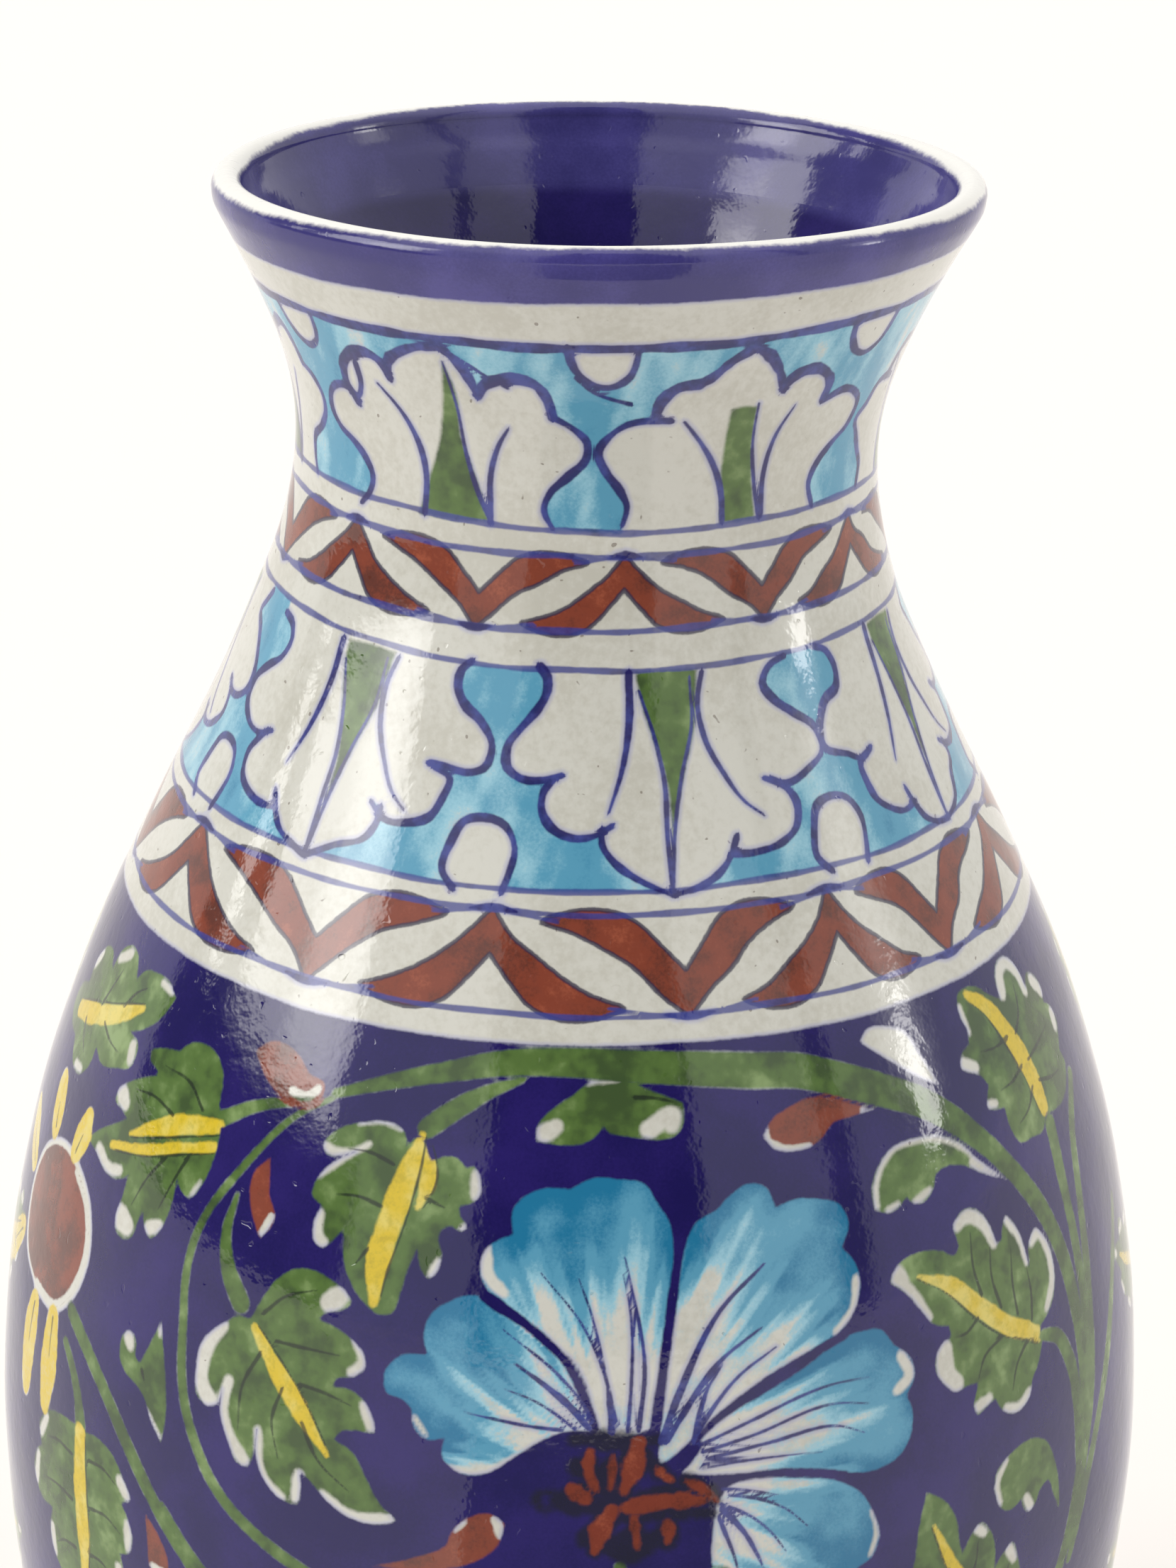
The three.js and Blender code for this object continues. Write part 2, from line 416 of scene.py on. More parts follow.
# Centre, left and right half widths in degrees, lift, and which halves are drawn.
STANDING = (
    (-79.5, 27.5, 21.5, 0.6, 1, 0), (-25.0, 30.0, 25.0, -0.1, 1, 0), (27.0, 25.0, 31.0, 0.35, 2, 3),
    (82.0, 21.5, 25.0, 0.5, 2, 0), (132.0, 25.0, 25.0, 0.2, 1, 3), (182.0, 25.0, 25.0, 0.0, 2, 0),
    (231.0, 24.0, 24.5, 0.3, 1, 0),
)
HANGING = (
    (-92.0, 26.0, 25.5, 0.2, 1, 0), (-39.5, 26.0, 26.5, 0.0, 1, 0), (13.2, 23.8, 28.5, 0.0, 0, 1),
    (65.0, 22.5, 24.5, 0.2, 1, 0), (113.5, 24.0, 25.5, 0.2, 0, 1), (165.0, 26.0, 25.0, 0.0, 1, 0),
    (216.5, 25.5, 26.0, 0.1, 0, 1),
)
MEASURED = (-25.0, 27.0, 13.2)          # these leaves are drawn exactly, the rest a little shaken


def shaken(points, amount_deg=0.45, amount_z=0.2):
    """The same shape drawn by hand once more."""
    p = np.array(points, float)
    inner = slice(1, -1)
    p[inner, 0] += rng.normal(0, amount_deg, len(p) - 2)
    p[inner, 1] += rng.normal(0, amount_z, len(p) - 2)
    return p


def lappet(halves, spec, widths, foot):
    """One scalloped leaf, left white; its open end runs on past its ring by foot."""
    centre, left, right, lift, first, second = spec
    sides = []
    for half, spread in ((halves[first], -left), (halves[second], right)):
        runs = []
        for run, width in zip(half, widths):
            points = [(centre + u * spread, z + lift) for u, z in run]
            if centre not in MEASURED:
                points = shaken(points)
            stroke("line", points, width * 1.05, width * 1.15, width * 0.85, 0.22)
            runs.append(path(points, OUTLINE_STEP))
        sides.append(np.vstack(runs))
    a, b = sides
    if foot < 0:
        loop = np.vstack((a[::-1], b, b[-1] + (0, foot), a[-1] + (0, foot)))
    else:
        loop = np.vstack((a, b[::-1], b[0] + (0, foot), a[0] + (0, foot)))
    rows, columns, _, distance = canvas.fill(loop)
    canvas.lower("spared", rows, columns, distance)


def bubble(points, width):
    """A white half moon hanging from, or standing on, a ring."""
    stroke("line", points, width * 1.1, width, width * 0.85, 0.2)
    rows, columns, _, distance = canvas.fill(path(points))
    canvas.lower("spared", rows, columns, distance)


def fill_band(high, low):
    """Turquoise between two rings, round everything that was spared."""
    strip = np.maximum(ring_distance(high), -ring_distance(low))
    turquoise = np.maximum(strip, -canvas.layers["spared"])
    canvas.layers["turquoise"][:] = np.minimum(canvas.layers["turquoise"], turquoise)
    a = np.radians(canvas.deg)[None, :]
    s = canvas.s[:, None]
    uneven = 0.56 + 0.26 * ripple(13 * a + 0.11 * s, 17) + 0.14 * ripple(29 * a - 0.23 * s, 18)
    canvas.layers["wash"][strip < 0] = uneven[strip < 0]


def wedge(runs):
    rows, columns, _, distance = canvas.fill(outline_of(runs))
    canvas.lower("green", rows, columns, distance)


def standing_band():
    """White leaves stand on the neck between turquoise drops."""
    canvas.layers["spared"].fill(FAR)
    for spec in STANDING:
        lappet(STANDING_HALVES, spec, (1.15, 1.3, 0.85), -2.5)
        standing_inside(*spec[:4])
    for centre in (-57.0, 2.5, 52.5, 107.0, 157.0, 206.5, 256.0):
        top = level("band_top", centre)
        bubble([(centre - 6.4, top), (centre - 5.2, top - 2.5), (centre - 2.6, top - 4.2),
                (centre + 0.6, top - 4.7), (centre + 3.8, top - 3.5), (centre + 4.8, top - 1.2),
                (centre + 4.8, top)], 0.9)
    stroke("line", [(-2.4, 238.9), (0.6, 237.2), (3.6, 236.4), (7.0, 235.8)], 0.6, 0.5, 0.6)
    stroke("line", [(-23.6, 240.8), (-20.4, 239.6), (-17.0, 238.2), (-14.0, 237.2)], 0.7, 0.5, 0.4)
    stroke("line", [(-48.4, 236.4), (-47.6, 234.2), (-45.6, 233.2), (-44.2, 234.6), (-44.0, 237.4)],
           0.8, 0.8, 1.0)
    fill_band("band_top", "lappets_1_low")


def standing_inside(centre, left, right, lift):
    """The green heart of a standing leaf and the veins beside it."""
    def at(u, z):
        return (centre + u * (right if u > 0 else left), z + lift)

    if centre == 27.0:
        wedge([[(25.6, 234.6), (28, 234.8), (30.7, 234.6)],
               [(30.7, 234.6), (32.0, 228.9), (34.2, 221.2)],
               [(34.2, 221.2), (30, 221.2), (26.4, 221.4)],
               [(26.4, 221.4), (25.9, 227), (25.6, 234.6)]])
        stroke("line", [(30.9, 234.9), (31.7, 230.0), (33.4, 225.4), (35.0, 221.4)], 0.35, 0.5, 0.7)
        stroke("line", [(17.2, 233.4), (21.3, 230.5), (24.6, 227.5), (26.3, 224.8), (26.9, 221.5)],
               0.35, 0.75, 0.8)
        stroke("line", [(39.2, 234.0), (36.7, 231.0), (35.4, 227.0), (35.4, 221.6)], 0.3, 0.7, 0.8)
        return
    wedge([[at(-0.24, 221.4), at(-0.17, 226), at(-0.1, 229.6), at(-0.04, 235), at(0.0, 239.8)],
           [at(0.0, 239.8), at(0.07, 234.7), at(0.06, 231.8), at(0.15, 227.2), at(0.3, 221.6)],
           [at(0.3, 221.6), at(0.0, 221.2), at(-0.24, 221.4)]])
    stroke("line", [at(0.0, 239.6), at(0.06, 234), at(0.1, 229), at(0.2, 224.5), at(0.31, 221.5)],
           0.3, 0.5, 0.7)
    stroke("line", [at(-0.49, 235.5), at(-0.36, 233), at(-0.25, 229.6), at(-0.205, 226.7), at(-0.2, 221.5)],
           0.35, 0.8, 0.8)
    stroke("line", [at(0.43, 232.4), at(0.35, 230.2), at(0.295, 227.3), at(0.3, 221.5)], 0.35, 0.75, 0.7)


def hanging_band():
    """White leaves hang from the shoulder's upper ring between turquoise mushrooms."""
    canvas.layers["spared"].fill(FAR)
    for spec in HANGING:
        lappet(HANGING_HALVES, spec, (0.9, 0.85, 0.75), 2.5)
        hanging_inside(*spec[:4])
    base = RINGS["lappets_2_low"][0]
    for centre in (-65.8, -13.2, 40.4, 89.2, 139.5, 190.5, 241.5):
        bubble([(centre - 3.2, base - 0.4), (centre - 5.0, base + 1.2), (centre - 4.3, base + 3.9),
                (centre - 2.8, base + 6.1), (centre + 0.2, base + 6.7), (centre + 3.4, base + 6.0),
                (centre + 4.9, base + 3.9), (centre + 4.4, base + 1.6), (centre + 3.5, base - 0.4)], 0.95)
    fill_band("lappets_2_high", "lappets_2_low")


def hanging_inside(centre, left, right, lift):
    def at(u, z):
        return (centre + u * (right if u > 0 else left), z + lift + 0.2)

    wedge([[at(-0.13, 206.0), at(0.07, 206.2), at(0.27, 206.0)],
           [at(0.27, 206.0), at(0.22, 200.5), at(0.13, 196), at(0.05, 190.8), at(0.02, 187.4)],
           [at(0.02, 187.4), at(0.02, 195.3), at(-0.04, 199.2), at(-0.11, 203.8), at(-0.13, 206.0)]])
    stroke("line", [at(-0.11, 204.0), at(-0.03, 199.5), at(0.01, 195), at(0.0, 189.5), at(0.0, 184.2)],
           0.35, 0.6, 0.6)
    stroke("line", [at(0.22, 205.2), at(0.2, 200.5), at(0.11, 195.5), at(0.04, 190.0), at(0.0, 184.2)],
           0.35, 0.5, 0.5)
    stroke("line", [at(-0.18, 205.9), at(-0.185, 202), at(-0.245, 196.8), at(-0.35, 192.0)], 0.9, 0.8, 0.3)
    stroke("line", [at(0.3, 205.6), at(0.25, 202.5), at(0.27, 198.6), at(0.35, 195.1), at(0.44, 192.2),
                    at(0.53, 190.7)], 0.6, 0.7, 0.3)


# ---- chain bands ------------------------------------------------------------------------------

# Each chain: its rings, then the degrees of the V tips on the upper ring and on the lower.
CHAINS = (
    ("chain_1_high", "chain_1_low", (-47.5, 8.0, 61.5, 112.0, 162.0, 212.0, 262.0),
     (-18.5, 35.5, 87.0, 137.0, 187.0, 237.0, 287.5)),
    ("chain_2_high", "chain_2_low", (-62.0, -10.5, 35.3, 75.0, 120.0, 164.0, 208.0, 253.0),
     (-34.0, 13.8, 53.3, 97.5, 142.0, 186.0, 230.5, 275.5)),
)
# One arm of a brown V: shares of the way to the next crossing, and of the height between rings.
ALMOND_EDGE = ((0.0, -0.03), (0.12, 0.22), (0.25, 0.43), (0.41, 0.65), (0.58, 0.81), (0.74, 0.91))
CROOK = ((0.74, 0.93), (0.56, 1.03), (0.38, 1.03), (0.25, 0.93), (0.12, 0.68), (0.0, 0.42))


RIBBON_TAIL = ((0.66, 0.92), (0.84, 0.98), (1.06, 1.02))


def ribbon(tip, others, start, end, spread):
    """One brown V: its tip on ring start, its arms bending along ring end towards the next tips."""
    def put(points, side):
        reach = side * min((other - tip) * side % 360 for other in others)
        placed = []
        for u, v in points:
            d = tip + reach * u * spread
            here, there = level(start, d), level(end, d)
            placed.append((d, here + (there - here) * v))
        return placed

    right = put(shaken(ALMOND_EDGE, 0.012, 0.015), 1)
    left = put(shaken(ALMOND_EDGE, 0.012, 0.015), -1)
    runs = (right, put(CROOK, 1), put(CROOK, -1)[::-1], left[::-1])
    rows, columns, _, distance = canvas.fill(outline_of(runs))
    canvas.lower("ribbon", rows, columns, distance)
    for side in (-1, 1):
        stroke("ring", put(RIBBON_TAIL, side), 0.4, 0.55, 0.4, 0.2)


def chain(high, low, peaks, valleys):
    """Brown ribbons that cross in points over white almonds, edged in blue."""
    for tips, others, start, end, spread, out in (
        (valleys, peaks, low, high, 1.0, -0.3), (peaks, valleys, high, low, 0.92, 0.3),
    ):
        for tip in tips:
            ribbon(tip, others, start, end, spread)
            z = level(start, tip)
            stroke("line", [(tip - 3.0, z), (tip, z + out), (tip + 3.0, z)], 0.3, 0.9, 0.3)


# ---- flowers, leaves and stems on the cobalt ground ---------------------------------------------

TILT = 0.0241                           # heights were read in a view that leans by this slope


class Spot:
    """Where a group of motifs goes: turned round the vase, and mirrored if flip is -1."""

    def __init__(self, turn, flip=1):
        self.turn, self.flip = turn, flip

    def __call__(self, points):
        return [
            (self.turn + self.flip * d, z + TILT * outer_radius(z) * math.sin(math.radians(d)))
            for d, z in points
        ]

    def runs(self, runs):
        return [self(run) for run in runs]

    def strokes(self, strokes):
        return [(self(points), width) for points, width in strokes]


def stem(spot, points, start, middle, end):
    points = spot(points)
    stroke("reserve", points, start + 0.15, middle + 0.15, end + 0.15, 0.05)
    stroke("green", points, start + 0.5, middle + 0.5, end + 0.5, 0.05)


def leaf(spot, runs, spared=(), ribs=(), hairs=()):
    """A lobed leaf: green with white left at its tips, yellow ribs edged dark, and dark hairs."""
    area("green", spot.runs(runs), spot.strokes(spared))
    for points, start, middle, end in ribs:
        points = spot(points)
        stroke("yellow", points, start, middle, end, 0.12)
        line, scale = to_wall(path(points))
        along = np.gradient(line, axis=0)
        along /= np.linalg.norm(along, axis=1)[:, None]
        across = np.column_stack((-along[:, 1], along[:, 0]))
        half = taper(np.linspace(0, 1, len(line)), start, middle, end) / 2
        shifted = line + across * (half[:, None] + 0.08)
        stroke("dark", np.column_stack((shifted[:, 0] / scale, shifted[:, 1]))[::2], 0.2, 0.3, 0.2, 0.4)
    for points in hairs:
        stroke("dark", spot(points), 0.5, 0.4, 0.12, 0.2)


def bud(spot, runs, spared):
    """A brown bud with white left along its round end."""
    area("brown", spot.runs(runs), spot.strokes(spared))


def blank(spot, runs):
    """A patch of bare white on the cobalt."""
    rows, columns, _, distance = canvas.fill(outline_of(spot.runs(runs)))
    canvas.lower("reserve", rows, columns, distance)


PETALS = (
    {   # left
        "fade": 11.0,
        "runs": (
            ((2.9, 130.4), (0.6, 137.4), (-3.3, 141.0), (-7.2, 143.9), (-9.0, 144.6), (-11.4, 143.9),
             (-13.5, 141.8), (-13.8, 139.6), (-13.3, 137.9)),
            ((-13.3, 137.9), (-15.9, 137.5), (-17.4, 135.3), (-17.1, 133.4), (-15.3, 132.7),
             (-14.5, 131.9)),
            ((-14.5, 131.9), (-14.2, 130.0), (-12.9, 128.7), (-11.2, 129.2)),
            ((-11.2, 129.2), (-11.4, 127.2), (-9.6, 125.4), (-7.2, 125.6), (-5.1, 127.2), (-2.9, 129.0),
             (-0.3, 130.4), (2.9, 130.4)),
        ),
        "spared": (
            (((-10.8, 125.8), (-7.4, 125.8), (-4.2, 127.8)), 0.9),
            (((-14.2, 131.0), (-13.0, 129.2)), 0.6),
        ),
        "veins": (
            ((2.0, 130.8), (0.2, 133.2), (-2.8, 136.0), (-4.9, 137.6), 0.75),
            ((2.4, 131.6), (0.9, 134.3), (-1.3, 137.0), (-6.2, 141.2), 0.4),
            ((0.8, 130.6), (-0.9, 132.2), (-3.2, 133.8), (-5.9, 134.9), 0.34),
            ((-0.5, 130.6), (-2.4, 130.8), (-5.8, 131.4), (-9.5, 132.1), 0.42),
        ),
    },
    {   # upper left
        "fade": 17.0,
        "runs": (
            ((3.0, 130.4), (0.6, 137.8), (-3.3, 141.3), (-7.2, 144.3), (-8.8, 147.2), (-8.3, 149.4),
             (-7.0, 150.5), (-5.7, 151.0)),
            ((-5.7, 151.0), (-5.9, 153.4), (-4.6, 155.0), (-2.5, 155.8), (-0.1, 155.7)),
            ((-0.1, 155.7), (2.3, 156.8), (4.9, 156.6), (7.5, 156.0), (8.8, 154.0)),
            ((8.8, 154.0), (10.0, 151.8), (10.2, 149.3), (9.9, 146.0), (9.1, 140.2), (8.4, 134.4),
             (7.8, 130.4)),
            ((7.8, 130.4), (5.5, 129.8), (3.0, 130.4)),
        ),
        "spared": ((((-8.5, 149.4), (-8.0, 146.8), (-6.4, 145.0)), 1.5),),
        "veins": (
            ((4.2, 130.8), (3.9, 134.4), (1.2, 142.0), (-2.8, 147.2), 0.36),
            ((4.6, 131.0), (3.8, 135.0), (2.0, 143.4), (0.9, 146.6), 0.4),
            ((6.6, 130.4), (7.2, 137.0), (6.0, 145.6), (5.4, 148.7), 0.5),
            ((5.6, 130.4), (5.9, 134.8), (5.8, 143.8), (5.2, 147.0), 0.42),
            ((4.1, 130.4), (4.1, 131.8), (3.9, 133.4), (3.7, 135.0), 0.75),
        ),
    },
    {   # upper right
        "fade": 20.5,
        "runs": (
            ((8.6, 129.4), (9.6, 138.3), (10.8, 146.0), (11.4, 149.3), (12.7, 151.7), (14.9, 152.8),
             (16.4, 154.1), (18.4, 155.0), (20.3, 154.3), (21.2, 152.1)),
            ((21.2, 152.1), (23.2, 152.6), (25.8, 152.2), (28.4, 151.0), (29.1, 148.8), (27.9, 146.6)),
            ((27.9, 146.6), (29.2, 144.9), (29.6, 143.0), (29.2, 141.0), (27.9, 138.9), (25.8, 137.3),
             (21.4, 135.6), (17.1, 133.4), (14.0, 131.4), (11.9, 129.4)),
            ((11.9, 129.4), (10.2, 127.6), (8.6, 126.6), (8.6, 129.4)),
        ),
        "spared": ((((29.2, 143.0), (28.5, 140.0), (26.4, 138.0)), 1.0),),
        "veins": (
            ((8.7, 129.0), (10.2, 133.4), (14.8, 142.6), (19.4, 146.6), 0.75),
            ((9.2, 128.9), (10.9, 132.0), (14.6, 137.2), (18.6, 140.0), 0.7),
            ((12.0, 129.4), (12.8, 130.8), (16.2, 135.2), (20.0, 137.7), 0.5),
            ((11.7, 128.6), (12.2, 131.0), (13.2, 134.4), (14.6, 136.6), 0.6),
        ),
    },
    {   # right
        "fade": 20.0,
        "runs": (
            ((10.6, 125.2), (11.9, 128.8), (14.9, 131.0), (19.3, 133.2), (23.6, 135.3), (26.2, 136.9),
             (28.8, 137.4), (31.4, 136.9), (32.6, 134.9)),
            ((32.6, 134.9), (34.4, 133.0), (34.8, 130.9), (33.6, 128.9)),
            ((33.6, 128.9), (34.2, 127.0), (33.9, 124.6), (32.5, 122.5), (29.7, 121.6), (26.2, 122.3),
             (21.4, 123.6), (17.1, 124.4), (12.7, 124.8), (10.6, 125.2)),
        ),
        "spared": ((((33.4, 133.4), (34.2, 131.0), (32.6, 129.8)), 1.3),),
        "veins": (
            ((12.4, 128.2), (16.4, 129.8), (25.6, 132.4), (29.6, 132.2), 0.42),
            ((12.6, 127.4), (17.0, 128.4), (26.0, 130.2), (29.4, 129.3), 0.4),
            ((13.0, 126.6), (19.0, 127.4), (26.2, 127.6), (28.7, 126.2), 0.45),
            ((12.6, 126.0), (14.4, 126.2), (16.2, 126.0), (18.0, 125.7), 0.34),
            ((12.4, 125.6), (16.4, 125.8), (21.0, 125.6), (24.2, 125.2), 0.3),
        ),
    },
    {   # lower right
        "fade": 15.5,
        "runs": (
            ((13.8, 121.4), (15.0, 123.2), (17.1, 123.6), (21.4, 122.9), (25.8, 121.4), (27.9, 119.6),
             (29.4, 116.6), (30.0, 113.6), (29.2, 111.4)),
            ((29.2, 111.4), (27.2, 110.4), (24.8, 110.2), (23.2, 111.0)),
            ((23.2, 111.0), (21.4, 109.8), (19.0, 109.6), (17.4, 110.8)),
            ((17.4, 110.8), (15.6, 110.8), (13.9, 112.6), (13.3, 115.4), (13.5, 118.6), (13.8, 121.4)),
        ),
        "spared": ((((29.2, 117.0), (29.7, 114.2), (29.0, 111.8)), 0.7),),
        "veins": (
            ((14.2, 121.3), (16.8, 119.6), (18.8, 117.4), (20.4, 114.6), 0.4),
            ((14.4, 120.6), (16.2, 118.0), (17.4, 115.4), (18.2, 113.2), 0.65),
            ((14.0, 119.8), (14.8, 117.2), (15.4, 115.2), (15.8, 113.4), 0.5),
            ((14.4, 123.0), (16.6, 122.5), (18.0, 122.0), (19.6, 121.4), 0.36),
            ((15.0, 122.2), (18.0, 121.2), (20.4, 119.6), (22.6, 117.0), 0.36),
        ),
    },
)
PETAL_GAPS = (
    ((2.6, 130.8), (1.4, 134.5), (0.0, 137.6), (-3.3, 141.2), (-8.2, 144.6), 1.05),
    ((8.0, 130.4), (8.6, 135.0), (9.3, 140.0), (10.2, 145.4), (10.9, 149.5), 0.95),
    ((11.2, 127.4), (12.4, 129.2), (15.5, 132.0), (19.5, 134.5), (27.2, 137.5), 0.9),
    ((13.4, 123.6), (16.0, 124.0), (19.5, 123.9), (23.0, 123.2), (26.4, 121.9), 0.95),
)
STAMENS = (
    ((2.2, 128.2), (2.0, 126.2), (2.8, 123.9), 1.2), ((4.3, 127.6), (4.2, 125.8), (4.0, 124.0), 0.8),
    ((6.6, 129.0), (6.2, 126.6), (5.3, 123.7), 2.1), ((8.3, 126.0), (8.9, 125.2), (9.7, 124.5), 1.0),
    ((5.6, 121.9), (9.0, 122.3), (12.4, 122.0), 1.9), ((11.0, 124.3), (12.6, 123.2), (13.8, 121.7), 1.0),
    ((0.6, 124.0), (1.3, 123.4), (2.1, 122.8), 1.8), ((4.2, 121.6), (3.2, 119.4), (2.7, 116.9), 2.1),
    ((6.2, 120.4), (6.4, 118.8), (6.6, 117.0), 1.0), ((9.2, 119.8), (9.4, 118.7), (9.3, 117.6), 1.4),
)
SOOT = (
    ((0.8, 129.6), (3.4, 129.4), (8.6, 129.2), 1.6), ((1.2, 126.4), (3.6, 125.6), (7.8, 126.6), 2.2),
    ((-0.4, 122.9), (3.4, 121.8), (8.6, 120.8), 2.0), ((2.0, 118.4), (5.0, 117.4), (9.6, 118.4), 2.4),
    ((9.6, 120.8), (12.0, 120.6), (13.4, 120.4), 1.2), ((3.2, 124.6), (5.0, 122.6), (9.6, 123.6), 1.6),
)


def flower(spot):
    """The fan flower: scalloped turquoise petals that fade to white towards the heart."""
    heart = spot([(4.6, 124.5)])[0]
    heart_arc = float(arc_at(heart[1]))
    wash = canvas.layers["wash"]
    for k, petal in enumerate(PETALS):
        spared = spot.strokes(petal["spared"])
        rows, columns, deg, distance = area("turquoise", spot.runs(petal["runs"]), spared)
        x = np.radians(deg - heart[0])[None, :] * canvas.r[rows][:, None]
        y = (canvas.s[rows] - heart_arc)[:, None]
        reach = np.hypot(x, y)
        angle = np.arctan2(y, x)
        streak = ripple(angle * 13 + 0.05 * reach, 40 + k) + 0.5 * ripple(angle * 41, 60 + k)
        shade = np.clip((reach - petal["fade"] - 4.6 * streak) / 9.0, 0, 1)
        rim = np.clip(1 + distance / 3.0, 0, 1)
        tone = 1.04 + 0.26 * ripple(angle * 9 + reach * 0.05, 80 + k) + 0.36 * rim
        part = wash[rows][:, columns]
        block = wash[rows]
        block[:, columns] = np.where(distance < OVERLAP + 0.4, shade * tone, part)
    for petal in PETALS:
        for *points, width in petal["veins"]:
            stroke("line", spot(points), width * 1.15, width, width * 0.4, 0.15)
    for *points, width in PETAL_GAPS:
        stroke("gap", spot(points), width * 0.9, width * 0.95, width * 1.25, 0.12)
    stroke("gap", spot([(10.4, 125.6), (11.2, 127.2), (12.2, 128.2)]), 0.5, 1.6, 0.8)
    for *points, width in SOOT:
        stroke("soot", spot(points), width * 1.1, width * 1.3, width * 0.9, 0.35)
    for *points, width in STAMENS:
        stroke("stamen", spot(points), width * 0.75, width * 1.05, width * 0.5, 0.25)
        stroke("soot", spot(points), width * 0.7 + 0.9, width + 1.0, width * 0.45 + 0.9, 0.35)
    turns = np.linspace(0, 2 * math.pi, 9)
    loop = [(-1.6 + 1.15 * math.cos(t), 122.8 + 1.0 * math.sin(t)) for t in turns]
    stroke("soot", spot(loop), 0.8, 0.9, 0.8, 0.3)


